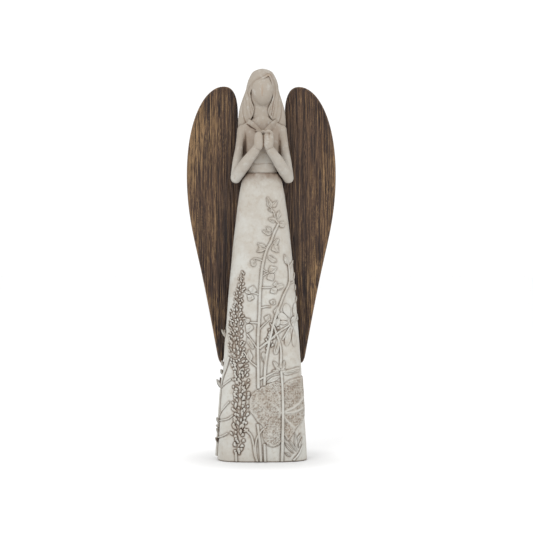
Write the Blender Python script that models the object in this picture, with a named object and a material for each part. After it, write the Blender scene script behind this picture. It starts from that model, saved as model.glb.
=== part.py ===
# Angel figurine: a woman in a long flared gown, hands held together at her breast,
# with two flat wood-grained wings let into her back.
# Metres, +Z up. She faces -Y, and the origin is the middle of the foot of the gown.
import math

import bmesh
import bpy
import numpy as np
from mathutils import Matrix, Vector

# Driving sizes, in metres
figure_height = 0.400  # foot of the gown to the crown of the hair
hem_width = 0.092
hem_depth = 0.060
waist_width = 0.035
waist_depth = 0.027
wing_length = 0.2867
wing_thickness = 0.009
wing_edge_round = 0.0025
wing_tip_height = 0.0973  # lowest point of a wing above the foot
wing_outer_reach = 0.0774  # outermost point of a wing from the middle
wing_root_overlap = 0.003  # how far a wing reaches in behind the side of the waist
wing_face_setback = 0.0125  # front face of the wings behind the middle of the figure
wing_clearance = 0.0003  # between a wing and the rebate that it sits in
relief_lift = 0.0016  # how far the thickest stems stand proud of the gown
leaf_lift = 0.0016  # height of the broad leaf's plate
hem_chamfer = 0.0012
grain_depth = 0.0009

wing_breadth = wing_outer_reach - (waist_width / 2 - wing_root_overlap)

# The figure's carving is laid out in four-hundredths of its height, 1 mm on the real one
unit = figure_height / 400
gown_height = 294 * unit
gown_flare = 0.62
gown_depth_flare = 0.85
waist_squareness = 2.3
hem_squareness = 3.1
gown_points = 32
body_points = 20
wing_resolution = 5
grain_grooves = 4
grain_steps = 3

resin_colour = (0.62, 0.58, 0.52, 1)
wood_colour = (0.11, 0.075, 0.05, 1)


# General helpers
def clear_scene():
    for old in list(bpy.data.objects):
        bpy.data.objects.remove(old)


def collection(name):
    made = bpy.data.collections.new(name)
    bpy.context.scene.collection.children.link(made)
    return made


def material(name, colour, roughness):
    made = bpy.data.materials.new(name)
    made.use_nodes = True
    shader = made.node_tree.nodes["Principled BSDF"]
    shader.inputs["Base Color"].default_value = colour
    shader.inputs["Roughness"].default_value = roughness
    shader.inputs["Metallic"].default_value = 0
    return made


def smooth_curve(points, steps):
    # A Catmull-Rom curve through the points, with that many steps between each two.
    line = [Vector(p) for p in points]
    line = [2 * line[0] - line[1], *line, 2 * line[-1] - line[-2]]
    out = []
    for i in range(1, len(line) - 2):
        a, b, c, d = line[i - 1 : i + 3]
        for k in range(steps):
            t = k / steps
            out.append(
                0.5 * (2 * b + (c - a) * t + (2 * a - 5 * b + 4 * c - d) * t**2
                       + (3 * b - a - 3 * c + d) * t**3)
            )
    return [*out, line[-2]]


def add_mesh(shells, mesh):
    # Joins a finished closed shell to the others, with its faces pointing out.
    piece = bmesh.new()
    piece.from_mesh(mesh)
    bmesh.ops.remove_doubles(piece, verts=piece.verts, dist=1e-6)
    bmesh.ops.recalc_face_normals(piece, faces=piece.faces)
    piece.to_mesh(mesh)
    piece.free()
    shells.from_mesh(mesh)
    bpy.data.meshes.remove(mesh)


def add_tube(shells, points, radii, sides_resolution=1):
    # A round limb or stem: a curve with a bevel, its radius given at each point.
    data = bpy.data.curves.new("tube", "CURVE")
    data.dimensions = "3D"
    data.bevel_depth = 1
    data.bevel_resolution = sides_resolution
    data.use_fill_caps = True
    spline = data.splines.new("POLY")
    spline.points.add(len(points) - 1)
    for place, p, radius in zip(spline.points, points, radii):
        place.co = (*p, 1)
        place.radius = radius
    obj = bpy.data.objects.new("tube", data)
    bpy.context.scene.collection.objects.link(obj)
    bpy.context.view_layer.update()
    graph = bpy.context.evaluated_depsgraph_get()
    mesh = bpy.data.meshes.new_from_object(obj.evaluated_get(graph))
    bpy.data.objects.remove(obj)
    bpy.data.curves.remove(data)
    add_mesh(shells, mesh)


def add_ball(shells, place, sizes, turn=None, segments=12, rings=8):
    piece = bmesh.new()
    bmesh.ops.create_uvsphere(piece, u_segments=segments, v_segments=rings, radius=1)
    matrix = Matrix.Translation(place) @ (turn or Matrix.Identity(4)) @ Matrix.Diagonal((*sizes, 1))
    bmesh.ops.transform(piece, matrix=matrix, verts=piece.verts)
    mesh = bpy.data.meshes.new("ball")
    piece.to_mesh(mesh)
    piece.free()
    add_mesh(shells, mesh)


def add_loft(shells, rings):
    # A closed body through rings of equal counts, capped at both ends.
    piece = bmesh.new()
    levels = [[piece.verts.new(p) for p in ring] for ring in rings]
    for low, high in zip(levels, levels[1:]):
        for i in range(len(low)):
            j = (i + 1) % len(low)
            piece.faces.new((low[i], low[j], high[j], high[i]))
    piece.faces.new(levels[0])
    piece.faces.new(levels[-1])
    mesh = bpy.data.meshes.new("loft")
    piece.to_mesh(mesh)
    piece.free()
    add_mesh(shells, mesh)


def object_of(name, shells, where):
    mesh = bpy.data.meshes.new(name)
    shells.to_mesh(mesh)
    shells.free()
    obj = bpy.data.objects.new(name, mesh)
    where.objects.link(obj)
    return obj


def make_guide(obj):
    obj.hide_render = True
    obj.display_type = "WIRE"


# The gown's surface
def section(half_width, half_depth, squareness, count):
    # Points evenly spaced round a rounded rectangle, from the middle of the front towards +X.
    angle = np.linspace(-math.pi / 2, 3 * math.pi / 2, 721)
    power = 2 / squareness
    x = half_width * np.sign(np.cos(angle)) * np.abs(np.cos(angle)) ** power
    y = half_depth * np.sign(np.sin(angle)) * np.abs(np.sin(angle)) ** power
    walked = np.concatenate([[0], np.cumsum(np.hypot(np.diff(x), np.diff(y)))])
    at = np.linspace(0, walked[-1], count, endpoint=False)
    return np.interp(at, walked, x), np.interp(at, walked, y), walked[-1]


def gown_size(height):
    drop = 1 - min(max(height / gown_height, 0), 1)
    half_width = (waist_width + (hem_width - waist_width) * drop**gown_flare) / 2
    half_depth = (waist_depth + (hem_depth - waist_depth) * drop**gown_depth_flare) / 2
    squareness = waist_squareness + (hem_squareness - waist_squareness) * drop**0.5
    return half_width, half_depth, squareness


def on_gown(across, height, lift=0.0):
    # A point on the gown, across being measured round it from the middle of the front.
    samples = 360
    x, y, girth = section(*gown_size(height), samples)
    step = girth / samples
    place = min(abs(across), 0.49 * girth) / step
    low = int(place)
    share = place - low
    here = Vector((x[low], y[low], 0)).lerp(Vector((x[low + 1], y[low + 1], 0)), share)
    along = Vector((x[low + 1] - x[low], y[low + 1] - y[low], 0)).normalized()
    outward = Vector((along.y, -along.x, 0))
    spot = here + outward * lift
    return Vector((math.copysign(1, across) * spot.x, spot.y, height))


def on_gown_units(across, height, lift=0.0):
    return on_gown(across * unit, height * unit, lift)


def gown_turn(across, height, direction):
    # Axes on the gown: X along direction (across, up), Y beside it, Z outwards.
    small = 0.5 * unit
    here = on_gown(across, height)
    right = (on_gown(across + small, height) - on_gown(across - small, height)).normalized()
    up = (on_gown(across, height + small) - on_gown(across, height - small)).normalized()
    ahead = (right * direction[0] + up * direction[1]).normalized()
    out = right.cross(up).normalized()
    beside = out.cross(ahead)
    turn = Matrix((ahead, beside, out)).transposed().to_4x4()
    return here, turn


# Relief on the gown
def add_stem(shells, points, radius, end_radius=None, steps=2):
    flat = smooth_curve([(a, h, 0) for a, h in points], steps)
    end = radius if end_radius is None else end_radius
    count = len(flat) - 1
    radii = [radius + (end - radius) * i / count for i in range(count + 1)]
    line = [on_gown_units(p.x, max(p.y, r / unit * 1.05), 0.35 * r) for p, r in zip(flat, radii)]
    add_tube(shells, line, radii, sides_resolution=0)


def add_leaf(shells, foot, tip, width, thickness=1.0, segments=6, rings=4):
    # A plump leaf, petal or bud lying on the gown from foot to tip.
    middle = ((foot[0] + tip[0]) / 2 * unit, (foot[1] + tip[1]) / 2 * unit)
    direction = (tip[0] - foot[0], tip[1] - foot[1])
    length = math.hypot(*direction) * unit
    here, turn = gown_turn(*middle, direction)
    sizes = (length / 2, width / 2 * unit, thickness * unit)
    # The poles of the ball lie along the leaf, so that both its ends are points.
    tip_over = Matrix.Rotation(math.pi / 2, 4, "Y")
    order = (sizes[2], sizes[1], sizes[0])
    add_ball(shells, here, order, turn @ tip_over, segments, rings)


def add_leaf_pairs(shells, leaves):
    # Each leaf is its foot on the stem, how far it reaches across and up, and its width.
    for across, height, reach, rise, width in leaves:
        add_leaf(shells, (across, height), (across + reach, height + rise), width, 1.7)


def add_leafy_vines(shells):
    # The tall vine up the front, bending to the figure's left and ending in a thin twig.
    tall = [(-1, 0), (-3, 41), (-4, 110), (-2, 165), (1, 202), (7, 222), (17, 243)]
    add_stem(shells, tall, 1.6 * unit, 1.1 * unit)
    add_stem(shells, [(17, 243), (13, 251), (8, 260), (6, 269)], 0.9 * unit, 0.7 * unit)
    add_leaf_pairs(shells, (
        (-5, 96, -13, 17, 6), (-5, 115, -9, 17, 6), (-4, 132, -12, 11, 6), (-2, 141, 11, 11, 6.5),
        (-1, 157, 15, 5, 7), (-3, 170, -11, 8, 8), (-3, 172, -13, -3, 6), (1, 179, 17, 2, 7),
        (0, 183, 13, -9, 7), (0, 193, 17, 4, 8), (2, 205, -12, 4, 7), (5, 214, 10, -5, 7),
        (7, 219, 9, 10, 6), (7, 221, -12, 4, 6.5), (11, 230, -2, 11, 6), (13, 238, 9, 6, 7),
        (16, 243, 9, -3, 7), (15, 249, 5, 10, 6), (10, 256, 8, 6, 6), (7, 264, -7, 5, 5),
    ))
    # The second vine, which runs up to the figure's left and off round the side
    second = [(3, 0), (3, 80), (7, 118), (16, 153), (23, 171), (28, 185), (27, 203)]
    add_stem(shells, second, 1.5 * unit, 1.0 * unit)
    add_stem(shells, [(27, 183), (32, 185), (37, 186)], 1.0 * unit, 0.7 * unit)
    add_leaf_pairs(shells, (
        (27, 200, -5, 12, 6), (28, 196, 6, 9, 5), (12, 139, 8, 9, 7), (9, 128, 9, 3, 7),
        (11, 150, -3, 11, 7), (18, 116, -6, 9, 6), (19, 108, 7, 8, 6),
    ))


def add_flower_spike(shells):
    # Buds in rows up a bowed stalk, large low down and small at the tip.
    axis = smooth_curve([(-26, 12, 0), (-22, 36, 0), (-21, 70, 0), (-26, 118, 0),
                         (-27, 152, 0), (-20, 194, 0)], 12)
    add_stem(shells, [(-26, 0), (-24, 14), (-22, 30)], 1.2 * unit, steps=1)
    rows = 19
    for row in range(rows):
        share = row / (rows - 1)
        at = axis[round(share * (len(axis) - 1))]
        half = 8.5 * (0.62 + 0.38 * math.sin(math.pi * min(1, 0.1 + 1.3 * share))) * (1 - 0.86 * share**2.2)
        length = 12.5 - 5.0 * share
        places = (-0.72, 0, 0.72) if row % 2 else (-0.36, 0.36)
        for place in places if share < 0.88 else (0,):
            lean = math.radians(90 - 30 * place)
            foot = (at.x + half * place, at.y - 0.3 * length)
            tip = (foot[0] + length * math.cos(lean), foot[1] + length * math.sin(lean))
            width = (5.6 - 2.2 * share) * (0.85 if place else 1)
            add_leaf(shells, foot, tip, width, 2.4 - 0.6 * share, segments=6, rings=4)


def add_palmate_leaf(shells):
    # A broad lobed leaf low on the front, raised on a plate, with its ribs standing out.
    middle = (19, 50)
    lobes = ((28, 41), (75, 33), (118, 34), (160, 37), (-70, 27), (-112, 36), (-25, 25))
    steps = 40
    outline = []
    for k in range(steps):
        angle = 360 * k / steps
        reach = 19.0
        for lobe_angle, lobe_reach in lobes:
            away = (angle - lobe_angle + 180) % 360 - 180
            reach = max(reach, lobe_reach * (1 - (abs(away) / 62) ** 1.7))
        outline.append((middle[0] + reach * math.cos(math.radians(angle)),
                        max(3, middle[1] + reach * math.sin(math.radians(angle)))))
    piece = bmesh.new()
    levels = []
    for share, lift in ((1.0, -1.2), (1.0, leaf_lift / unit - 0.5), (0.93, leaf_lift / unit), (0.45, leaf_lift / unit)):
        levels.append([
            piece.verts.new(on_gown_units(middle[0] + (a - middle[0]) * share,
                                          middle[1] + (h - middle[1]) * share, lift * unit))
            for a, h in outline
        ])
    for low, high in zip(levels, levels[1:]):
        for i in range(steps):
            j = (i + 1) % steps
            piece.faces.new((low[i], low[j], high[j], high[i]))
    for level, lift in ((levels[0], -2.4 * unit), (levels[-1], leaf_lift)):
        centre = piece.verts.new(on_gown_units(*middle, lift))
        for i in range(steps):
            piece.faces.new((level[i], level[(i + 1) % steps], centre))
    mesh = bpy.data.meshes.new("leaf")
    piece.to_mesh(mesh)
    piece.free()
    add_mesh(shells, mesh)
    for lobe_angle, lobe_reach in lobes:
        turn = math.radians(lobe_angle)
        ends = [(middle[0] + share * lobe_reach * math.cos(turn), middle[1] + share * lobe_reach * math.sin(turn))
                for share in (0, 0.45, 0.86)]
        line = [on_gown_units(*end, leaf_lift) for end in ends]
        add_tube(shells, line, [0.9 * unit, 0.8 * unit, 0.5 * unit], sides_resolution=0)


def add_daisy(shells):
    heart = (31, 142)
    for angle, length in ((108, 19), (72, 17), (150, 14), (185, 13), (255, 20), (282, 22), (20, 14)):
        turn = math.radians(angle)
        foot = (heart[0] + 2 * math.cos(turn), heart[1] + 2 * math.sin(turn))
        tip = (heart[0] + length * math.cos(turn), heart[1] + length * math.sin(turn))
        add_leaf(shells, foot, tip, 6.4, thickness=1.3)
    add_leaf(shells, (heart[0] - 3.5, heart[1]), (heart[0] + 3.5, heart[1]), 7, thickness=2.4)
    add_stem(shells, [(-3, 115), (8, 124), (17, 133), (28, 140)], 1.2 * unit)


def add_low_stems(shells):
    # The straight stem over the leaf, with a ruff of small leaves and two blades at its head
    add_stem(shells, [(20, 0), (21, 20)], relief_lift, steps=1)
    add_stem(shells, [(20, 86), (19, 110), (17, 125), (12, 139)], 1.3 * unit, 0.9 * unit)
    for angle in (20, 75, 130, 190):
        turn = math.radians(angle)
        add_leaf(shells, (19.5, 93), (19.5 + 9 * math.cos(turn), 93 + 9 * math.sin(turn)), 5, 1.9)
    add_stem(shells, [(-3, 84), (7, 88), (17, 93)], 1.2 * unit, 0.8 * unit, steps=1)
    add_stem(shells, [(24, 89), (34, 92), (43, 94), (50, 99)], 1.9 * unit, 1.3 * unit)
    # Forked stems between the flower spike and the vines
    add_stem(shells, [(-18, 33), (-11, 27), (-8, 18), (-6, 0)], 1.3 * unit)
    # A sprig in the corner
    add_stem(shells, [(32, 0), (39, 10), (47, 22), (54, 33)], 1.1 * unit)
    for foot, tip in (((36, 6), (34, 28)), ((36, 6), (26, 23)), ((38, 12), (42, 30))):
        add_leaf(shells, foot, tip, 4.5, 1.5)


def add_side_sprays(shells):
    # Stems that climb the two sides, with twigs that come forward and small seed heads
    climb = [(-60, 2), (-58, 24), (-53, 50), (-49, 74), (-42, 100), (-36, 118)]
    add_stem(shells, climb, 1.3 * unit, 1.0 * unit)
    for foot, tip in (((-50, 72), (-34, 84)), ((-54, 45), (-35, 61)), ((-59, 22), (-38, 30))):
        middle = ((foot[0] + tip[0]) / 2, (foot[1] + tip[1]) / 2 - 0.6)
        add_stem(shells, [foot, middle, tip], 1.0 * unit, 0.7 * unit, steps=1)
    for foot, tip in (((-51, 76), (-56, 88)), ((-58, 38), (-62, 47)), ((-60, 26), (-64, 34)),
                      ((-54, 58), (-59, 67))):
        add_leaf(shells, foot, tip, 6, 3.0)
    right_climb = [(60, 2), (62, 30), (58, 66), (50, 98), (42, 140), (38, 178)]
    add_stem(shells, right_climb, 1.2 * unit, 0.9 * unit)
    for height, side in ((46, 1), (70, -1), (112, 1), (150, -1)):
        across = float(np.interp(height, [h for _, h in right_climb], [a for a, _ in right_climb]))
        add_leaf(shells, (across, height), (across + side * 7, height + 8), 5, 1.6)


# The woman above the gown
def body_ring(height, half_width, half_depth, y=0.0, squareness=2.2, count=body_points):
    x, depth, _ = section(half_width * unit, half_depth * unit, squareness, count)
    return [Vector((a, b + y * unit, height * unit)) for a, b in zip(x, depth)]


def add_bodice(shells):
    # Height, half width, half depth, middle of the depth
    stations = (
        (284, 15.0, 11.5, 0.0), (296, 15.6, 12.0, 0.0), (305, 16.2, 12.8, -0.4), (315, 17.2, 14.4, -0.8),
        (324, 18.4, 14.2, -0.4), (332, 20.6, 13.0, 0.4), (338, 22.4, 11.4, 1.0), (342.5, 20.6, 10.0, 1.2),
        (346, 15.4, 8.8, 1.2), (349.5, 10.2, 7.8, 0.8), (354, 7.2, 6.9, 0.2), (366, 6.5, 6.6, -0.8),
        (374, 6.4, 6.4, -1.2),
    )
    add_loft(shells, [body_ring(*station) for station in stations])


def add_arm(shells, side):
    # Shoulder to elbow, and elbow to the hand that meets the other at the breast.
    upper = [(19.6, 1.2, 337.5), (22.0, 0.6, 320), (25.3, -0.6, 302), (26.9, -2.4, 288.8)]
    lower = [(26.9, -2.8, 288.2), (22.6, -8.5, 294.8), (16, -16.5, 304.6), (8.6, -23.6, 315), (5.2, -26.5, 322)]
    for points, radii in ((upper, (5.8, 5.5, 5.5, 5.3)), (lower, (5.3, 6.2, 6.0, 4.7, 4.2))):
        line = [Vector((side * x, y, z)) * unit for x, y, z in points]
        add_tube(shells, line, [r * unit for r in radii], sides_resolution=2)
    add_ball(shells, Vector((side * 19.6, 1.2, 337.2)) * unit, [5.9 * unit] * 3)
    add_ball(shells, Vector((side * 26.9, -2.6, 288.2)) * unit, [5.4 * unit] * 3)


def add_hand(shells, side):
    # The two hands meet at the middle, fingers bent over the top.
    add_ball(shells, Vector((side * 4.9, -26.6, 325.2)) * unit, Vector((4.8, 5.4, 8.8)) * unit, segments=10)
    for finger in range(3):
        x = side * (2.4 + 2.6 * finger)
        high = 334.2 - 1.1 * finger
        line = [(x, -30.2, 319), (x, -31.4, 326), (x * 0.98, -30.8, high - 2), (x * 0.95, -27.5, high)]
        add_tube(shells, [Vector(p) * unit for p in line], [r * unit for r in (1.3, 1.7, 1.7, 1.5)])


def add_head(shells):
    piece = bmesh.new()
    bmesh.ops.create_uvsphere(piece, u_segments=16, v_segments=12, radius=1)
    for vertex in piece.verts:
        # The face narrows to the chin.
        narrow = 1 - 0.18 * max(0, -vertex.co.z) ** 1.2
        vertex.co = Vector((vertex.co.x * 12.0 * narrow, vertex.co.y * 13.4, vertex.co.z * 16.8))
        vertex.co = (vertex.co + Vector((0.4, -3.5, 378.2))) * unit
    mesh = bpy.data.meshes.new("head")
    piece.to_mesh(mesh)
    piece.free()
    add_mesh(shells, mesh)


def add_ribbon(shells, points, widths, thicknesses, middle, sides=8):
    # A flattened, tapering lock whose broad side faces away from the middle line of the head.
    line = smooth_curve(points, 2)
    count = len(line) - 1
    at = np.linspace(0, 1, len(widths))
    rings = []
    for i, p in enumerate(line):
        share = i / count
        half_width = float(np.interp(share, at, widths)) / 2
        half_thickness = float(np.interp(share, at, thicknesses)) / 2
        along = (line[min(i + 1, count)] - line[max(i - 1, 0)]).normalized()
        out = p - Vector(middle)
        out.z = 0
        beside = along.cross(out).normalized()
        out = beside.cross(along)
        rings.append([
            (p + beside * half_width * math.cos(a) + out * half_thickness * math.sin(a)) * unit
            for a in (2 * math.pi * k / sides for k in range(sides))
        ])
    add_loft(shells, rings)


def add_hair(shells):
    # The mass of hair over the crown and down the back, behind the neck.
    stations = (
        (400.0, 4.5, 5.0, 0.6), (398.4, 9.2, 9.4, 0.5), (395, 12.4, 13.0, 0.3), (390.5, 14.5, 14.6, 0.6),
        (384, 15.4, 11.0, 5.2), (376, 17.0, 9.0, 7.0), (366, 20.4, 7.4, 8.0), (356, 23.2, 6.6, 8.2),
        (346, 24.8, 6.0, 8.4), (335, 24.3, 6.2, 9.3), (323, 21.6, 6.1, 9.6), (313, 16, 5.2, 9.6), (306, 9, 3.8, 9.6),
    )
    add_loft(shells, [body_ring(*station) for station in stations])
    middle = (0, 2, 0)
    # The fringe, swept across the forehead from the parting to her right.
    add_ribbon(shells, [(7, -13.4, 395), (0, -15.6, 391.5), (-6.5, -14.2, 387), (-11.6, -10.4, 380),
                        (-15, -7, 371), (-18.4, -5, 359)], (5, 10, 9.5, 8), (3, 4, 4.4, 4), middle)
    add_ribbon(shells, [(6.6, -13.2, 395), (10.8, -11.2, 388), (13.4, -8.6, 380), (15.8, -6.4, 370),
                        (18.8, -4.8, 358)], (4, 7.5, 8, 8), (3, 4.2, 4.6, 4), middle)
    # The long locks in front of each shoulder, and the inner ones beside the neck.
    for side in (-1, 1):
        add_ribbon(shells, [(side * 14.5, -5.5, 382), (side * 17.5, -3.6, 370), (side * 20.6, -2.6, 357),
                            (side * 21.6, -1.8, 346), (side * 20.1, 1.1, 335)], (7, 9, 9.5, 4), (7, 8, 8, 4), middle)
    add_ribbon(shells, [(-12.6, -8, 379), (-14.2, -6.4, 368), (-13.8, -6.2, 357), (-12.6, -6.4, 349)],
               (4, 6, 5.5, 3), (4, 5, 4.6, 3), middle)
    add_ribbon(shells, [(13.2, -8, 381), (13.4, -7.6, 371), (11.2, -7.0, 362), (11.6, -7.6, 354), (14.5, -7, 347)],
               (4, 6, 6, 4), (4, 5, 4.8, 3), middle)


def add_collar(shells):
    # Two broad lapels that meet at a small knot over the hands.
    for side in (-1, 1):
        add_ribbon(shells, [(side * 11.8, -3.0, 349.5), (side * 8.6, -10.2, 344), (side * 4.2, -14.4, 338.5),
                            (side * 0.4, -15.8, 334)], (5, 6.5, 6, 3), (2.4, 2.8, 2.8, 2.4), (0, 4, 0))
    add_ball(shells, Vector((0.6, -16.6, 334.2)) * unit, Vector((2.4, 1.8, 2.2)) * unit, segments=8, rings=6)


# The wings
def wing_outline(side):
    # Handles of the outline, as shares of the breadth in from the outermost point and of the length up.
    knots = (
        ((0.000, 0.680), (0.000, 0.888), (0.000, 0.550)),
        ((0.196, 0.373), (0.110, 0.460), (0.316, 0.261)),
        ((0.510, 0.025), (0.460, 0.083), (0.531, 0.007)),
        ((0.579, 0.000), (0.550, 0.000), (0.618, 0.000)),
        ((1.030, 0.623), (0.932, 0.310), (1.060, 0.721)),
        ((0.843, 0.888), (0.932, 0.819), (0.849, 0.962)),
        ((0.610, 1.000), (0.777, 1.000), (0.308, 1.000)),
    )
    return [
        [Vector((side * (wing_outer_reach - inward * wing_breadth), wing_tip_height + up * wing_length, 0))
         for inward, up in knot]
        for knot in knots
    ]


def wing_curve(name, side, thickness, edge_round, spread, resolution):
    data = bpy.data.curves.new(name, "CURVE")
    data.dimensions = "2D"
    data.fill_mode = "BOTH"
    data.resolution_u = resolution
    data.extrude = thickness / 2 - edge_round
    data.bevel_depth = edge_round
    data.bevel_resolution = 1
    data.offset = spread - edge_round
    spline = data.splines.new("BEZIER")
    outline = wing_outline(side)
    spline.bezier_points.add(len(outline) - 1)
    # One way round for both wings, so that the offset grows each outline.
    ordered = outline if side < 0 else [[k, b, a] for k, a, b in reversed(outline)]
    for point, (knot, before, after) in zip(spline.bezier_points, ordered):
        point.co = knot
        point.handle_left = before
        point.handle_right = after
    spline.use_cyclic_u = True
    obj = bpy.data.objects.new(name, data)
    obj.rotation_euler = (math.pi / 2, 0, 0)
    return obj


def wing_object(name, side, where):
    # The curve becomes a mesh here, because a Boolean takes only meshes.
    curve = wing_curve(name, side, wing_thickness, wing_edge_round, 0, wing_resolution)
    curve.location.y = wing_face_setback + wing_thickness / 2
    return mesh_from_curve(curve, name, where)


def mesh_from_curve(curve, name, where):
    bpy.context.scene.collection.objects.link(curve)
    bpy.context.view_layer.update()
    mesh = bpy.data.meshes.new_from_object(curve.evaluated_get(bpy.context.evaluated_depsgraph_get()))
    mesh.transform(curve.matrix_world)
    bpy.data.objects.remove(curve)
    shells = bmesh.new()
    add_mesh(shells, mesh)
    return object_of(name, shells, where)


def rebate_cutter(name, side, where):
    # The wing's outline grown by the clearance, from just before its front face out past the back.
    depth = 0.05
    curve = wing_curve(name, side, depth, 0.00001, wing_clearance, wing_resolution)
    curve.data.bevel_depth = 0
    curve.data.offset = wing_clearance
    curve.location.y = wing_face_setback - wing_clearance + depth / 2
    return mesh_from_curve(curve, name, where)


def grain_cutter(name, side, where):
    # Long shallow grooves down both faces. Heights are shares of the wing's length, and the two
    # edges are shares of its breadth in from the outermost point.
    heights = (0.0, 0.14, 0.29, 0.37, 0.49, 0.69, 0.81, 0.9, 1.0)
    outer_edge = (0.54, 0.44, 0.31, 0.20, 0.11, 0.00, 0.04, 0.16, 0.43)
    inner_edge = (0.59, 0.80, 0.90, 0.94, 0.98, 1.00, 0.91, 0.84, 0.75)
    shells = bmesh.new()
    for face in (0, 1):
        y = wing_face_setback + face * wing_thickness + (0.5 - face) * grain_depth * 0.5
        for row in range(grain_grooves):
            share = (row + 0.7 + 0.3 * math.sin(5 * row + face)) / (grain_grooves + 0.5)
            top = 0.95 - 0.10 * abs(share - 0.55) - 0.03 * math.sin(3 * row + 2 * face)
            low = 0.14 + 0.42 * share**1.2 + 0.07 * math.sin(4 * row + face)
            points = []
            for k in range(grain_steps + 1):
                up = low + (top - low) * k / grain_steps
                outer = float(np.interp(up, heights, outer_edge))
                inner = float(np.interp(up, heights, inner_edge))
                inward = outer + (inner - outer) * (0.07 + 0.9 * share) + 0.008 * math.sin(1.7 * k + row)
                x = wing_outer_reach - inward * wing_breadth
                points.append(Vector((side * x, y, wing_tip_height + up * wing_length)))
            rounds = [math.sin(math.pi * (k + 0.3) / (grain_steps + 0.6)) for k in range(grain_steps + 1)]
            add_tube(shells, points, [grain_depth * (0.6 + swell) for swell in rounds], 0)
    return object_of(name, shells, where)


def add_boolean(obj, operation, other, overlapping=False):
    modifier = obj.modifiers.new(operation.lower() + "_" + other.name, "BOOLEAN")
    modifier.operation = operation
    modifier.object = other
    modifier.solver = "EXACT"
    modifier.use_self = overlapping
    make_guide(other)


# The figure
def gown_object(name, where):
    shells = bmesh.new()
    heights = (0, 1.4, 26, 54, 84, 116, 148, 178, 206, 230, 250, 266, 279, 288, 294)
    rings = []
    for height in heights:
        half_width, half_depth, squareness = gown_size(height * unit)
        inset = hem_chamfer if height == 0 else 0
        x, y, _ = section(half_width - inset, half_depth - inset, squareness, gown_points)
        rings.append([Vector((a, b, height * unit)) for a, b in zip(x, y)])
    add_loft(shells, rings)
    return object_of(name, shells, where)


def body_object(name, where):
    shells = bmesh.new()
    add_bodice(shells)
    for side in (-1, 1):
        add_arm(shells, side)
        add_hand(shells, side)
    add_collar(shells)
    add_head(shells)
    add_hair(shells)
    return object_of(name, shells, where)


def relief_object(name, where):
    shells = bmesh.new()
    add_leafy_vines(shells)
    add_flower_spike(shells)
    add_palmate_leaf(shells)
    add_daisy(shells)
    add_low_stems(shells)
    add_side_sprays(shells)
    return object_of(name, shells, where)


clear_scene()
guides = collection("guides")
pieces = collection("pieces")

figure = gown_object("figure", pieces)
figure.data.materials.append(material("pale_resin", resin_colour, 0.75))
add_boolean(figure, "UNION", body_object("body_shape", guides), overlapping=True)
add_boolean(figure, "UNION", relief_object("relief_shape", guides), overlapping=True)

wood = material("brown_resin", wood_colour, 0.6)
for side, hand in ((1, "left"), (-1, "right")):
    wing = wing_object("wing_" + hand, side, pieces)
    wing.data.materials.append(wood)
    add_boolean(wing, "DIFFERENCE", grain_cutter("grain_" + hand, side, guides))
    add_boolean(figure, "DIFFERENCE", rebate_cutter("rebate_" + hand, side, guides))

# The joins leave many slivers, which this takes out.
thinned = figure.modifiers.new("thinned", "DECIMATE")
thinned.decimate_type = "COLLAPSE"
thinned.ratio = 0.54
thinned.use_collapse_triangulate = True
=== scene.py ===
import math

import bpy
import numpy as np
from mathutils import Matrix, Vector
from mathutils.bvhtree import BVHTree


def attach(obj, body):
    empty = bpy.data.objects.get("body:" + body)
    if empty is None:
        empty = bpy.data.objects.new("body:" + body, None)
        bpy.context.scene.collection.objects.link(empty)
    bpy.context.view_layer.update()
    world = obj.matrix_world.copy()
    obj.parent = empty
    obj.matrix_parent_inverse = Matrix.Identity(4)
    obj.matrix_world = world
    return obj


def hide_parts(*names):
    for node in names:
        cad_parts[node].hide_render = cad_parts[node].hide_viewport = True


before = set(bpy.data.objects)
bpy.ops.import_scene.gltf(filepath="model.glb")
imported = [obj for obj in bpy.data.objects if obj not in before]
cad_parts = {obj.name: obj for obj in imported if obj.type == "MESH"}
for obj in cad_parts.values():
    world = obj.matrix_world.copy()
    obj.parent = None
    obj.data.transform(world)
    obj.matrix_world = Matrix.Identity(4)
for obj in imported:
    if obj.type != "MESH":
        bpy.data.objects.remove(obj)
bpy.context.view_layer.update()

mm = 0.001
dice = np.random.default_rng(7)

# The camera, and how the front view is laid out: steps across and down from its top left corner
view = {
    "imageSize": 533,
    "step": 1.0275,        # millimetres to a step, at the middle of the figure
    "eyeDistance": 1500.0,
    "eyeHeight": 197.4,
    "aimAcross": 4.6,
    "azimuth": -2.5,       # degrees towards the viewer's left
    "sensor": 36.0,
}


# General helpers
def alone(obj):
    bpy.ops.object.select_all(action="DESELECT")
    obj.select_set(True)
    bpy.context.view_layer.objects.active = obj


def newest(name):
    # The object just made, under its own name
    obj = bpy.context.view_layer.objects.active
    obj.name = obj.data.name = name
    return obj


def verticesOf(obj):
    places = np.empty(len(obj.data.vertices) * 3)
    obj.data.vertices.foreach_get("co", places)
    return places.reshape(-1, 3)


def moveVertices(obj, places):
    obj.data.vertices.foreach_set("co", np.asarray(places, float).ravel())
    obj.data.update()


def normalsOf(obj):
    found = np.empty(len(obj.data.vertices) * 3)
    obj.data.vertices.foreach_get("normal", found)
    return found.reshape(-1, 3)


def applyModifier(obj, kind, **settings):
    alone(obj)
    made = obj.modifiers.new(kind.lower(), kind)
    for key, value in settings.items():
        setattr(made, key, value)
    bpy.ops.object.modifier_apply(modifier=made.name)


def joined(objs, name):
    alone(objs[0])
    for obj in objs:
        obj.select_set(True)
    bpy.ops.object.join()
    return newest(name)


def facesOut(obj):
    alone(obj)
    bpy.ops.object.mode_set(mode="EDIT")
    bpy.ops.mesh.select_all(action="SELECT")
    bpy.ops.mesh.remove_doubles(threshold=0.000001)
    bpy.ops.mesh.normals_make_consistent(inside=False)
    bpy.ops.object.mode_set(mode="OBJECT")


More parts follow.
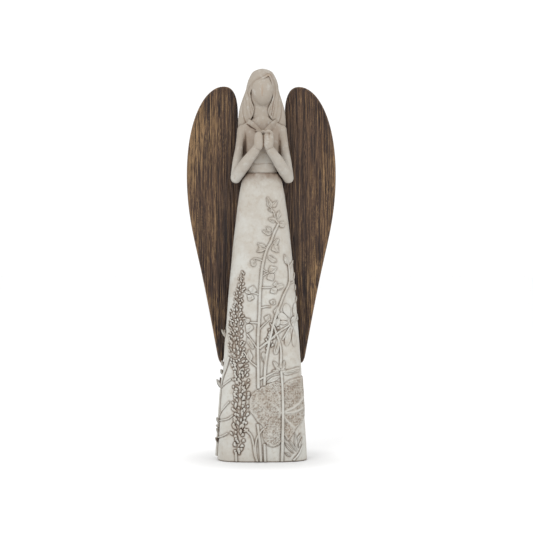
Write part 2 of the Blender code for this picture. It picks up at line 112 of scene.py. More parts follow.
def paint(obj, name, values):
    made = obj.data.attributes.new(name, "FLOAT", "POINT")
    made.data.foreach_set("value", np.clip(values, 0, 1).astype(np.float32))


def smoothStep(low, high, value):
    share = np.clip((value - low) / (high - low), 0, 1)
    return share * share * (3 - 2 * share)


def ridge(value, middle, width):
    # 1 at the middle, falling away to both sides
    return np.exp(-((value - middle) / width)**2)


def window(value, low, full, end, gone):
    # Rises from low to full, and falls from end to gone
    return smoothStep(low, full, value) * smoothStep(gone, end, value)


def drawnIn(share):
    # How far a rounded edge draws in, from 1 at its rim to 0
    return 1 - np.sqrt(np.clip(1 - (1 - share)**2, 0, 1))


def squared(value, power):
    # A power that keeps the sign
    return np.sign(value) * np.abs(value)**power


def smoothLine(points, steps):
    # A curve through the points, with so many steps between each two
    line = [np.array(p, float) for p in points]
    line = [2 * line[0] - line[1], *line, 2 * line[-1] - line[-2]]
    out = []
    for i in range(1, len(line) - 2):
        a, b, c, d = line[i - 1:i + 3]
        for k in range(steps):
            t = k / steps
            out.append(0.5 * (2 * b + (c - a) * t + (2 * a - 5 * b + 4 * c - d) * t**2
                              + (3 * b - a - 3 * c + d) * t**3))
    return np.array([*out, line[-2]])


# The gown's surface. Flat work lies on it by its distance round from the middle of the front,
# its height and its lift, all in millimetres.
gown = {
    "height": 293.0,
    "hemWidth": 92.0,
    "hemDepth": 60.0,
    "waistWidth": 35.0,
    "waistDepth": 27.0,
    "flare": 0.62,
    "depthFlare": 0.85,
    "hemSquareness": 3.1,
    "waistSquareness": 2.3,
    "hemRound": 2.2,
    "frontColumns": 188,
    "backColumns": 40,
    "rows": 424,
    "frontShare": 0.5,     # of the half girth
    "grooveDepth": 0.40,   # pressed in beside the relief
    "grooveAt": 0.55,
    "grooveWidth": 0.6,
    "topRound": 1.6,
    # Uneven places: their height, width, length and seed
    "ripples": [(0.16, 14, 24, 3), (0.07, 4, 6, 4)],
    "sideFolds": (0.3, 3.2, 190, 5),
    "foldsFrom": (0.28, 0.5),
}
arcStep = 0.25
arcs = np.arange(0, 132, arcStep)


def gownSizes(height):
    drop = 1 - min(max(height / gown["height"], 0), 1)
    halfWidth = (gown["waistWidth"] + (gown["hemWidth"] - gown["waistWidth"]) * drop**gown["flare"]) / 2
    halfDepth = (gown["waistDepth"] + (gown["hemDepth"] - gown["waistDepth"]) * drop**gown["depthFlare"]) / 2
    squareness = gown["waistSquareness"] + (gown["hemSquareness"] - gown["waistSquareness"]) * drop**0.5
    return halfWidth, halfDepth, squareness


def gownTable():
    acrossRows, depthRows, girths = [], [], []
    angle = np.linspace(-math.pi / 2, math.pi / 2, 901)
    for height in range(int(gown["height"]) + 3):
        halfWidth, halfDepth, squareness = gownSizes(height)
        x = halfWidth * np.abs(np.cos(angle))**(2 / squareness)
        y = halfDepth * squared(np.sin(angle), 2 / squareness)
        walked = np.concatenate([[0], np.cumsum(np.hypot(np.diff(x), np.diff(y)))])
        acrossRows.append(np.interp(arcs, walked, x))
        depthRows.append(np.interp(arcs, walked, y))
        girths.append(walked[-1])
    return np.array(acrossRows), np.array(depthRows), np.array(girths)


tableX, tableY, halfGirths = gownTable()
print("gown table made")


def gownSpot(across, height):
    row = np.clip(height, 0, len(tableX) - 1.001)
    column = np.clip(np.abs(across) / arcStep, 0, len(arcs) - 1.001)
    i, j = row.astype(int), column.astype(int)
    u, v = row - i, column - j
    x, y = (
        (t[i, j] * (1 - v) + t[i, j + 1] * v) * (1 - u) + (t[i + 1, j] * (1 - v) + t[i + 1, j + 1] * v) * u
        for t in (tableX, tableY)
    )
    return np.stack([np.where(across < 0, -x, x), y, height], 1)


def onGown(across, height, lift):
    across, height, lift = (np.asarray(v, float) for v in (across, height, lift))
    here = gownSpot(across, height)
    along = gownSpot(across + 0.5, height) - gownSpot(across - 0.5, height)
    up = gownSpot(across, height + 1) - gownSpot(across, height - 1)
    out = np.cross(along, up)
    out /= np.maximum(np.linalg.norm(out, axis=1, keepdims=True), 1e-9)
    return here + out * lift[:, None]


def fromView(right, down):
    # A point seen on the front of the gown, as its distance round and its height
    middle = view["imageSize"] / 2
    turn = math.radians(view["azimuth"])
    height = view["eyeHeight"] + (middle - down) * view["step"]
    for _ in range(2):
        halfDepth = gownSizes(height)[1]
        scale = view["step"] * (1 - halfDepth / view["eyeDistance"])
        height = view["eyeHeight"] + (middle - down) * scale
    x = view["aimAcross"] + (right - middle) * scale + halfDepth * math.sin(turn)
    row = int(np.clip(height, 0, gown["height"]))
    widest = int(np.argmax(tableX[row]))
    across = float(np.interp(abs(x), tableX[row, :widest + 1], arcs[:widest + 1]))
    return math.copysign(across, x), max(height, 0.4)


# Shapes that start from a primitive. They are made in millimetres and shrunk to metres when done.
def tubeFromGrid(name, columns, rows, place):
    # A closed skin: a grid whose columns run round and whose rows run along
    bpy.ops.object.select_all(action="DESELECT")
    bpy.ops.mesh.primitive_grid_add(x_subdivisions=columns, y_subdivisions=rows, size=1)
    obj = newest(name)
    flat = verticesOf(obj) + 0.5
    moveVertices(obj, place(flat[:, 0], flat[:, 1]))
    bpy.ops.object.mode_set(mode="EDIT")
    bpy.ops.mesh.select_all(action="SELECT")
    bpy.ops.mesh.remove_doubles(threshold=0.002)
    bpy.ops.mesh.fill_holes(sides=0)
    bpy.ops.mesh.select_all(action="SELECT")
    bpy.ops.mesh.normals_make_consistent(inside=False)
    bpy.ops.object.mode_set(mode="OBJECT")
    return obj


def loft(name, stations, columns=64, steps=6):
    # Stations are height, half width, half depth, middle of the depth and squareness
    fine = smoothLine(stations, steps)

    def place(around, along):
        row = along * (len(fine) - 1)
        height, halfWidth, halfDepth, middle, square = (
            np.interp(row, np.arange(len(fine)), fine[:, k]) for k in range(5)
        )
        angle = 2 * math.pi * around
        return np.stack([
            halfWidth * squared(np.cos(angle), 2 / square),
            middle + halfDepth * squared(np.sin(angle), 2 / square),
            height,
        ], 1)

    return tubeFromGrid(name, columns, len(fine) - 1, place)


def tube(name, points, radii, sides=4, steps=8):
    # A curve with a round section, swelling and thinning by radii, turned into a mesh
    data = bpy.data.curves.new(name, "CURVE")
    data.dimensions = "3D"
    data.bevel_depth = 1.0
    data.bevel_resolution = sides
    data.use_fill_caps = True
    line = smoothLine(points, steps)
    sizes = np.interp(np.linspace(0, 1, len(line)), np.linspace(0, 1, len(radii)), radii)
    spline = data.splines.new("POLY")
    spline.points.add(len(line) - 1)
    for point, place, size in zip(spline.points, line, sizes):
        point.co = (*place, 1)
        point.radius = size
    obj = bpy.data.objects.new(name, data)
    bpy.context.scene.collection.objects.link(obj)
    alone(obj)
    bpy.ops.object.convert(target="MESH")
    return bpy.context.view_layer.objects.active


def ball(name, middle, radii, segments=32, rings=20):
    bpy.ops.object.select_all(action="DESELECT")
    bpy.ops.mesh.primitive_uv_sphere_add(
        segments=segments, ring_count=rings, radius=1, location=middle, scale=radii)
    bpy.ops.object.transform_apply()
    return newest(name)


def ribbon(name, points, widths, thicknesses, middle, sides=16, steps=6):
    # A flattened, tapering lock whose broad side faces away from the middle line
    line = smoothLine(points, steps)
    at = np.linspace(0, 1, len(line))
    halfWidth = np.interp(at, np.linspace(0, 1, len(widths)), widths) / 2
    halfThickness = np.interp(at, np.linspace(0, 1, len(thicknesses)), thicknesses) / 2
    ahead = np.gradient(line, axis=0)
    out = line - np.array(middle, float)
    out[:, 2] = 0
    beside = np.cross(ahead, out)
    beside /= np.linalg.norm(beside, axis=1, keepdims=True)
    out = np.cross(beside, ahead)
    out /= np.linalg.norm(out, axis=1, keepdims=True)

    def place(around, along):
        row = np.round(along * (len(line) - 1)).astype(int)
        angle = 2 * math.pi * around
        return (line[row] + beside[row] * (halfWidth[row] * np.cos(angle))[:, None]
                + out[row] * (halfThickness[row] * np.sin(angle))[:, None])

    return tubeFromGrid(name, sides, len(line) - 1, place)


def blended(parts, name, voxel, smoothing):
    # One skin over all the parts
    obj = joined(parts, name)
    applyModifier(obj, "REMESH", mode="VOXEL", voxel_size=voxel, adaptivity=0)
    applyModifier(obj, "SMOOTH", factor=0.5, iterations=smoothing)
    return obj


def edgesOf(obj):
    pairs = np.empty(len(obj.data.edges) * 2, int)
    obj.data.edges.foreach_get("vertices", pairs)
    return pairs.reshape(-1, 2)


def spread(obj, values, rounds):
    # Evens values out over neighbouring vertices
    pairs = edgesOf(obj)
    count = np.bincount(pairs.ravel(), minlength=len(values))[:, None]
    values = values.reshape(len(values), -1)
    for _ in range(rounds):
        total = np.zeros_like(values)
        np.add.at(total, pairs[:, 0], values[pairs[:, 1]])
        np.add.at(total, pairs[:, 1], values[pairs[:, 0]])
        values = 0.5 * values + 0.5 * total / np.maximum(count, 1)
    return values


def hollows(obj, rounds, full):
    # How deep each vertex lies in a hollow, from 0 to 1 at a depth of full millimetres
    places = verticesOf(obj)
    depth = ((spread(obj, places, rounds) - places) * normalsOf(obj)).sum(1)
    return np.clip(depth / full, 0, 1)


def facesOf(obj):
    return [list(face.vertices) for face in obj.data.polygons]


def merged(shapes):
    # The places and faces of several shapes as one
    places, faces, start = [], [], 0
    for own, ownFaces in shapes:
        places.extend(own.tolist())
        faces.extend([[v + start for v in face] for face in ownFaces])
        start += len(own)
    return places, faces


def treeOf(objs):
    return BVHTree.FromPolygons(*merged((verticesOf(obj), facesOf(obj)) for obj in objs))


def nearness(places, tree, reach):
    # 1 on the other surface, falling to 0 at a distance of reach
    found = np.zeros(len(places))
    for i, place in enumerate(places):
        hit = tree.find_nearest(place, reach)
        if hit[0] is not None:
            found[i] = 1 - hit[3] / reach
    return found


def wander(x, y, width, height, seed):
    # Smooth random values between -1 and 1 whose spots are so wide and high
    table = np.random.default_rng(seed).uniform(-1, 1, (256, 256))
    u, v = x / width + 1000, y / height + 1000
    i, j = np.floor(u).astype(int), np.floor(v).astype(int)
    a, b = u - i, v - j
    a, b = a * a * (3 - 2 * a), b * b * (3 - 2 * b)
    i0, j0, i1, j1 = i % 256, j % 256, (i + 1) % 256, (j + 1) % 256
    return ((table[i0, j0] * (1 - a) + table[i1, j0] * a) * (1 - b)
            + (table[i0, j1] * (1 - a) + table[i1, j1] * a) * b)


# Relief on the gown. Everything is drawn in steps of the front view.
leafShape = {
    "columns": 18,
    "rows": 12,
    "top": 14 / 18,       # share of the columns on the upper side
    "hollow": 0.75,
    "hollowAt": 0.22,     # to one side of the middle line
    "hollowWidth": 0.42,
    "buried": 0.9,
    "wobble": 0.2,
    "bend": 0.12,
}


def leafTemplate(name="leafTemplate", blunt=0.85, narrowing=0.25):
    # From (0, 0) to (1, 0), a half unit wide each side of its middle line, and one unit thick
    def place(around, along):
        top = around <= leafShape["top"] + 0.001
        side = np.where(top, 1 - 2 * around / leafShape["top"],
                        -1 + 2 * (around - leafShape["top"]) / (1 - leafShape["top"]))
        width = 0.5 * np.sin(math.pi * along**blunt)**0.7 * (1 - narrowing * along)
        rim = 1 - np.abs(side)**6
        cup = 1 - leafShape["hollow"] * ridge(side, leafShape["hollowAt"], leafShape["hollowWidth"])
        ends = np.sin(math.pi * np.clip(along, 0, 1))**0.35
        lift = np.where(top, rim * cup * ends - 0.25 * (1 - rim), -leafShape["buried"] * (1 - side**2))
        return np.stack([along, side * width, lift], 1)

    return tubeFromGrid(name, leafShape["columns"], leafShape["rows"], place)


def budTemplate():
    # A seed from (0, 0) to (1, 0), thin at its foot, and round where its tip stands out
    bpy.ops.object.select_all(action="DESELECT")
    bpy.ops.mesh.primitive_ico_sphere_add(subdivisions=2, radius=1)
    obj = newest("budTemplate")
    x, y, z = verticesOf(obj).T
    along = (x + 1) / 2
    thick = 0.55 + 0.55 * along
    moveVertices(obj, np.stack([along, 0.5 * y * thick, z * 0.62 * thick + 0.55 * along - 0.1], 1))
    return obj


def shapeOf(obj):
    shape = verticesOf(obj), facesOf(obj)
    bpy.data.objects.remove(obj)
    return shape


def stamp(shape, foot, tip, width, thickness, loose=1.0):
    # The template laid from foot to tip, both given on the flat gown, no two of them quite alike
    foot, tip = np.array(foot, float), np.array(tip, float)
    ahead = tip - foot
    beside = np.array([-ahead[1], ahead[0]]) / np.hypot(*ahead) * width
    along, side, lift = shape[0].T
    wave = leafShape["wobble"] * loose * np.sin(along * dice.uniform(6, 10) + dice.uniform(0, 6))
    side = side * (1 + wave) + leafShape["bend"] * loose * dice.uniform(-1, 1) * np.sin(math.pi * along)
    flat = foot + along[:, None] * ahead + side[:, None] * beside
    return np.column_stack([flat, lift * thickness]), shape[1]


def gathered(name, stamps):
    places, faces = merged(stamps)
    mesh = bpy.data.meshes.new(name)
    mesh.from_pydata(places, [], faces)
    obj = bpy.data.objects.new(name, mesh)
    bpy.context.scene.collection.objects.link(obj)
    return obj


def stem(points, thick, thin, lift=0.0):
    # Half sunk in the gown, or lifted over what it crosses
    line = [fromView(*p) for p in points]
    rise = np.linspace(0, 1, len(line)) if lift else np.zeros(len(line))
    lifts = 0.25 * thick + lift * np.sin(np.pi * np.clip(rise * 1.25, 0, 1))**0.5
    return tube("stem", [(a, h, z) for (a, h), z in zip(line, lifts)], (thick, thin), sides=2, steps=5)


stemLines = [
    # Points, and how thick it is at its start and end, with a lift where it crosses others
    ([(261, 461.5), (260.2, 447), (258.8, 434), (257.6, 424)], 1.5, 1.3),
    ([(258.5, 388.5), (258.3, 380), (258.2, 365), (258, 340), (259.5, 313), (259.8, 296),
     (261, 280), (262.5, 266), (266.5, 250), (270.6, 242.4), (274, 233), (278.6, 223.4)], 1.6, 1.1),
    ([(278.6, 223.4), (276, 220.6), (273.8, 212.5), (271, 208.5), (268, 198.3)], 0.95, 0.6),
    ([(265.2, 461.5), (264.8, 453), (264.4, 444)], 1.4, 1.3),
    ([(264.4, 385.5), (264.7, 378), (265.6, 363.7), (268.8, 344.5), (273.6, 323.8), (277.6, 311),
     (280.2, 304.6), (284.2, 294), (289.4, 282), (288.8, 266), (285.5, 257)], 1.5, 0.9),
    ([(282, 461.5), (282.2, 450), (282.4, 440), (282.7, 425), (282.8, 410), (282.6, 397), (282.3, 385),
     (281.2, 371)], 1.5, 1.3, 1.5),
    ([(280.6, 368), (281, 358), (280.7, 349), (279, 341), (276, 333), (274, 326)], 1.3, 0.9),
    ([(244.2, 428.8), (250.7, 434.8), (253.3, 443.4), (255, 455), (257.6, 461.5)], 1.0, 1.1),
    ([(266.2, 426.6), (261, 431.4), (256.7, 439), (255.4, 447.8), (256.7, 461)], 0.9, 1.1),
    ([(293.5, 461), (299, 455), (303, 446)], 1.1, 0.8),
    ([(236.5, 461.5), (236, 452)], 1.2, 1.2),
    ([(259.3, 348.5), (270, 340), (279, 332), (288.8, 325.9)], 1.2, 0.9),
    ([(290, 327), (282.5, 340)], 0.9, 0.9),
    ([(258, 349), (252, 341), (247, 334)], 0.9, 0.7),
    ([(257.5, 367), (250, 361), (244, 352)], 0.9, 0.7),
    ([(259.5, 329), (264, 324.5), (268, 321)], 0.8, 0.6),
    ([(257.8, 323), (250, 322.5)], 0.9, 0.7),
    ([(260, 308), (266, 306.8), (270, 307)], 0.8, 0.6),
    ([(259.5, 295), (255, 293.2), (251, 292.5)], 0.8, 0.6),
    ([(260.5, 287.5), (266, 287.8), (272, 287.5)], 0.8, 0.6),
    ([(262.4, 269), (265, 271), (268.5, 272.5)], 0.7, 0.6),
    ([(262, 276.5), (265, 274.5), (268.5, 273)], 0.7, 0.6),
    ([(262.9, 261), (258, 259), (253, 259)], 0.8, 0.6),
    ([(290, 283.5), (294, 281.6)], 0.8, 0.6),
    ([(259.3, 379.5), (268, 375.5), (277, 371)], 1.2, 0.8),
    ([(229.5, 357), (226.5, 368), (223, 382), (221, 400), (219, 418), (217.6, 438), (217, 459)], 1.4, 1.9),
    ([(231.3, 379.6), (226, 384), (222.5, 388.5)], 0.8, 0.7),
    ([(229.7, 402), (224, 409), (220.5, 417)], 0.8, 0.7),
    ([(233, 415.5), (226.5, 420), (219.5, 423.5)], 0.8, 0.7),
    ([(228, 433.8), (222, 437.5), (218.8, 441)], 0.8, 0.7),
]
leafMarks = [
    # Foot and tip, and the width across
    ((271, 208.5), (267, 197), 5), ((272, 207), (277.5, 200.5), 4.5), ((273, 212), (268, 209), 3),
    ((276.5, 219), (279.5, 210), 4.5), ((275.5, 221), (268, 219), 5.5), ((278.6, 223.4), (285.5, 225), 7),
    ((271.5, 233.5), (262, 230.5), 5), ((271.5, 231.5), (266.5, 226.5), 4), ((266.5, 248.7), (257, 243), 5),
    ((266.5, 248.7), (256, 252), 4.5), ((274, 245), (278.5, 238.5), 5), ((273, 245.5), (278.5, 252.5), 7),
    ((253, 259), (254, 267), 6), ((268, 256.5), (277, 262), 5), ((268.5, 272), (277.5, 268), 7),
    ((268.5, 274), (273.5, 281), 7.5), ((252, 293), (253.5, 285.5), 7.5), ((251, 293), (245, 290.5), 4),
    ((252, 294.5), (249, 301), 6.5), ((272, 288), (276, 294), 7), ((276, 288), (284, 285.5), 6),
    ((274, 286), (277, 281.5), 4), ((272, 305), (274.5, 299.5), 5.5), ((250, 322), (244.5, 318.5), 4.5),
    ((251, 324), (247, 333), 7.5), ((266, 321), (269.5, 314.5), 6), ((253.5, 349), (247, 337.5), 5),
    ((250, 362), (249, 349), 6), ((263, 352), (266, 366), 5), ((288, 265), (284.5, 254), 5),
    ((289, 268), (293.5, 260), 4), ((277, 316), (277.5, 306), 5.5), ((276, 327), (280, 317), 5.5),
    ((275, 355), (278.5, 338), 6),
    ((294, 279), (297.5, 272), 3.5), ((295, 291), (298.5, 284), 3.5), ((296, 302), (300, 296), 3.5),
    ((297, 452), (295.3, 433), 2.6), ((297, 452), (288.5, 440), 2.6), ((294, 454), (284.5, 442.5), 2.4),
    ((297, 442), (301.5, 434), 2.6), ((299, 449), (303, 438), 2.6), ((291, 457), (284.5, 453), 2.2),
    ((280.5, 371), (275, 366), 4), ((280.5, 371), (285.5, 365), 4), ((281, 372), (279.5, 363), 4),
    ((279, 371), (273, 361), 4), ((282, 370), (284.5, 360.5), 3.5), ((279, 372.5), (272, 371), 3.5),
    ((281, 371), (287, 370.5), 4), ((283, 374), (301.5, 369), 6), ((266, 383), (283, 375), 4.5),
]
leafRise = 1.4
leafFullness = 1.15
# The second lobe of the wider leaves, as shares of the leaf
lobe = {
    "leastWidth": 4.6,
    "span": (0.1, 0.74),
    "aside": 0.2,
    "width": 0.62,
    "rise": 1.25,
}


def stemsAndLeaves():
    stems = [stem(*line) for line in stemLines]
    stemsPiece = joined(stems, "reliefStems")
    leaf = shapeOf(leafTemplate())
    stamps = []
    for foot, tip, width in leafMarks:
        a, b = fromView(*foot), fromView(*tip)
        side = dice.choice((-1, 1))
        stamps.append(stamp(leaf, a, b, width * leafFullness * side, leafRise))
        if width > lobe["leastWidth"]:
            ahead = np.array(b) - a
            beside = np.array([-ahead[1], ahead[0]]) / np.hypot(*ahead) * (width * side * lobe["aside"])
            foot, tip = (a + share * ahead - beside for share in lobe["span"])
            stamps.append(stamp(leaf, foot, tip, -width * side * lobe["width"], leafRise * lobe["rise"]))
    leavesPiece = gathered("reliefLeaves", stamps)
    facesOut(leavesPiece)
    return stemsPiece, leavesPiece, leaf


spike = {
    # Middle across and down, and half width, from the foot of the buds to the tip
    "middle": [(238, 453), (237.5, 440), (239, 430), (240.5, 412), (241, 395), (240.3, 375), (237.5, 355),
               (235.8, 340), (236, 320), (237.5, 303), (240.5, 285), (243, 270)],
    "halfWidth": [4, 6.3, 6.8, 7.2, 8.6, 8.3, 8.0, 7.6, 7, 5.6, 3.6, 1.6],
    "rise": 2.5,
    "budLength": (5.8, 2.9),   # at the foot and at the tip
    "budWidth": (3.2, 1.9),
    "room": 1.3,               # across, in bud widths
    "tierStep": 0.78,          # up, in bud lengths
    "lean": 38,                # degrees, at the edges
}


budCluster = {
    "middle": [(268.5, 347), (270.5, 338), (272, 329), (274.5, 319)],
    "halfWidth": [2.5, 4.4, 4.6, 2.6],
    "rise": 1.7,
    "budLength": (3.8, 3.2),
    "budWidth": (2.5, 2.1),
    "room": 1.35,
    "tierStep": 0.85,
    "lean": 45,
}


def budTiers(bud, marks):
    line = smoothLine(marks["middle"], 10)
    halves = marks["halfWidth"]
    halves = np.interp(np.linspace(0, 1, len(line)), np.linspace(0, 1, len(halves)), halves)
    walked = np.concatenate([[0], np.cumsum(np.hypot(*np.diff(line, axis=0).T))])
    stamps = []
    at, tier = 0.0, 0
    while at < walked[-1]:
        share = at / walked[-1]
        right, down = np.interp(at, walked, line[:, 0]), np.interp(at, walked, line[:, 1])
        half = np.interp(at, walked, halves)
        length, width = (foot + (tip - foot) * share for foot, tip in (marks["budLength"], marks["budWidth"]))
        count = max(1, round(2 * half / (width * marks["room"])))
        for k in range(count):
            lane = (2 * k + 1) / count - 1 + (tier % 2 - 0.5) * 0.9 / count
            lane = max(-1, min(1, lane + dice.uniform(-0.16, 0.16)))
            lean = math.radians(marks["lean"] * (lane + 0.5 * (-1)**k) + dice.uniform(-28, 28))
            foot = (right + half * lane * 0.85, down + 1.6 + 1.8 * (1 - abs(lane)) + dice.uniform(-1.2, 1.2))
            own = length * dice.uniform(0.65, 1.2)
            tip = (foot[0] + own * math.sin(lean), foot[1] - own * math.cos(lean))
            rise = marks["rise"] * (1 - 0.4 * share) * (1 - 0.25 * lane**2) * dice.uniform(0.75, 1.25)
            broad = width * dice.uniform(0.85, 1.15)
            stamps.append(stamp(bud, fromView(*foot), fromView(*tip), broad, rise))
        at += length * marks["tierStep"]
        tier += 1
    return stamps


daisy = {
    "heart": (293.6, 322),
    # Foot and tip, and the width across
    "petals": [
        ((290, 318.5), (285.5, 303.5), 8.5), ((294, 317), (295.5, 303), 5.5), ((288.5, 320), (277.5, 314), 8),
        ((289, 323), (279, 322.5), 4.5), ((290, 328), (286.5, 346.5), 7), ((294, 328.5), (294.8, 347.5), 6),
        ((297, 321), (303, 315), 6),
    ],
    "petalRise": 0.85,
    "dome": ((293.6, 328), (293.6, 316.5), 7.5, 2.0),
    "heartRadius": 3.0,
    "seeds": 12,
}


def daisyFlower(bud):
    petal = shapeOf(leafTemplate("petalTemplate", 1.4, -0.1))
    heart = fromView(*daisy["heart"])
    stamps = [stamp(petal, fromView(*foot), fromView(*tip), width, daisy["petalRise"], 0.3)
              for foot, tip, width in daisy["petals"]]
    foot, tip, width, rise = daisy["dome"]
    stamps.append(stamp(bud, fromView(*foot), fromView(*tip), width, rise, 0))
    for k in range(daisy["seeds"]):
        turn = 2.4 * k
        reach = daisy["heartRadius"] * math.sqrt(k / daisy["seeds"])
        spot = (heart[0] + reach * math.cos(turn), heart[1] + reach * math.sin(turn))
        stamps.append(stamp(bud, spot, (spot[0] + 0.9 * math.cos(turn), spot[1] + 1.6), 1.9, 2.6, 0))
    return gathered("daisy", stamps)


broadLeaf = {
    "outline": [
        (249, 411), (250, 398), (256, 391), (266, 385), (276, 381.5), (284, 384), (292, 380), (305.4, 377.5),
        (303, 385), (304.7, 393), (303.4, 400), (304, 410), (302.5, 419), (298, 427), (292, 436), (288, 441),
        (284, 436), (281, 443), (273, 447), (265.5, 443), (262.5, 434), (263, 427), (257, 421), (254, 416),
    ],
    "heart": (281.5, 413),
    "ribs": [(303, 398), (302, 409.5), (294, 428), (276, 388), (262, 398), (270, 436)],
    "ribStrength": [1, 1, 0.8, 0.35, 0.3, 0.3],
    "corner": 302,       # past it the leaf goes on round the side
    "roundSide": 9.0,
    "cell": 2.6,
    "step": 0.5,
    "rise": 1.1,
    "pitDepth": 0.95,
    "rimRise": 0.25,
    "swell": 0.35,
    "thickness": 2.2,
}


def polygonDistance(points, outline):
    # Positive inside
    inside = np.zeros(len(points), bool)
    nearest = np.full(len(points), 1e9)
    for a, b in zip(outline, np.roll(outline, -1, axis=0)):
        run = b - a
        share = np.clip(((points - a) @ run) / (run @ run), 0, 1)
        nearest = np.minimum(nearest, np.linalg.norm(points - a - share[:, None] * run, axis=1))
        crosses = (a[1] > points[:, 1]) != (b[1] > points[:, 1])
        with np.errstate(divide="ignore", invalid="ignore"):
            where = a[0] + (points[:, 1] - a[1]) / (b[1] - a[1]) * run[0]
        inside ^= crosses & (points[:, 0] < where)
    return np.where(inside, nearest, -nearest)


def lineDistance(points, line):
    nearest = np.full(len(points), 1e9)
    for a, b in zip(line[:-1], line[1:]):
        run = b - a
        share = np.clip(((points - a) @ run) / (run @ run), 0, 1)
        nearest = np.minimum(nearest, np.linalg.norm(points - a - share[:, None] * run, axis=1))
    return nearest


def broadLeafPiece():
    corners = []
    for right, down in broadLeaf["outline"]:
        corner = np.array(fromView(min(right, broadLeaf["corner"]), down))
        corner[0] += (right > broadLeaf["corner"]) * (broadLeaf["roundSide"] + 2 * (right - 304))
        corners.append(corner)
    outline = smoothLine([*corners, corners[0]], 5)[:-1]
    low, high = outline.min(0) - 1.5, outline.max(0) + 1.5
    columns, rows = ((high - low) / broadLeaf["step"]).astype(int)
    bpy.ops.object.select_all(action="DESELECT")
    bpy.ops.mesh.primitive_grid_add(x_subdivisions=int(columns), y_subdivisions=int(rows), size=1)
    obj = newest("broadLeaf")
    flat = low + (verticesOf(obj)[:, :2] + 0.5) * (high - low)
    depth = polygonDistance(flat, outline)
    # The net of veins: high where two cells meet
    cell = broadLeaf["cell"]
    count = ((high - low) / cell).astype(int) + 2
    seeds = np.array([(i, j) for i in range(count[0]) for j in range(count[1])], float)
    seeds = low + (seeds + dice.uniform(-0.42, 0.42, seeds.shape)) * cell
    apart = np.linalg.norm(flat[:, None, :] - seeds[None, :, :], axis=2)
    apart.sort(axis=1)
    net = 1 - smoothStep(0.1, 1.0, apart[:, 1] - apart[:, 0])
    heart = np.array(fromView(*broadLeaf["heart"]))
    rib = np.zeros(len(flat))
    for tip, strength in zip(broadLeaf["ribs"], broadLeaf["ribStrength"]):
        tip = np.array(fromView(*tip))
        bent = (heart + tip) / 2 + 0.06 * np.array([tip[1] - heart[1], heart[0] - tip[0]])
        away = lineDistance(flat, smoothLine([heart, bent, tip], 4))
        rib = np.maximum(rib, strength * ridge(away, 0, 1.1))
    rim = ridge(depth, 0.9, 0.7)
    deep = 0.5 + 0.5 * wander(*flat.T, 3.0, 3.0, 31)
    pits = (1 - net) * smoothStep(0.8, 2.0, depth) * (1 - rib) * (0.35 + 0.65 * deep)
    swells = broadLeaf["swell"] * wander(*flat.T, 7.0, 7.0, 32) * smoothStep(0.5, 2.5, depth)
    lift = (broadLeaf["rise"] * smoothStep(-0.6, 1.4, depth) - broadLeaf["pitDepth"] * pits + rib
            + broadLeaf["rimRise"] * rim + swells)
    lift = np.where(depth < -0.6, -1.6, lift)
    moveVertices(obj, np.column_stack([flat, lift]))
    paint(obj, "rib", rib)
    applyModifier(obj, "SOLIDIFY", thickness=broadLeaf["thickness"], offset=-1)
    return obj


def gownBody(reliefTree):
    # Narrow columns over the front, where the relief is, and wider ones behind
    front, back = gown["frontColumns"], gown["backColumns"]
    columns = front + back
    share = gown["frontShare"]

    def place(around, along):
        column = around * columns
        turn = np.where(
            column <= front, (column / front - 0.5) * 2 * share,
            share + (column - front) / back * 2 * (1 - share),
        )
        turn = np.where(turn > 1, turn - 2, turn)
        height = along * gown["height"]
        girth = np.interp(height, np.arange(len(halfGirths)), halfGirths)
        across = turn * girth
        hem = np.clip(height / gown["hemRound"], 0, 1)
        top = np.clip((gown["height"] - height) / gown["topRound"], 0, 1)
        inset = -gown["hemRound"] * 0.75 * drawnIn(hem) - 0.9 * drawnIn(top)
        distance = np.full(len(across), 9.0)
        for i in np.flatnonzero(np.abs(across) < 75):
            hit = reliefTree.find_nearest((across[i], height[i], 0.0), 5.0)
            if hit[0] is not None:
                distance[i] = hit[3]
        groove = ridge(distance, gown["grooveAt"], gown["grooveWidth"]) * gown["grooveDepth"]
        ripple = sum(rise * wander(across, height, *spot) for rise, *spot in gown["ripples"])
        rise, *spot = gown["sideFolds"]
        folds = wander(across / girth * 60, height, *spot)
        folds *= smoothStep(*gown["foldsFrom"], np.abs(across) / girth)
        lift = inset - groove + (ripple + rise * folds) * hem
        return onGown(across, height, lift)

    return tubeFromGrid("gown", columns, gown["rows"], place)


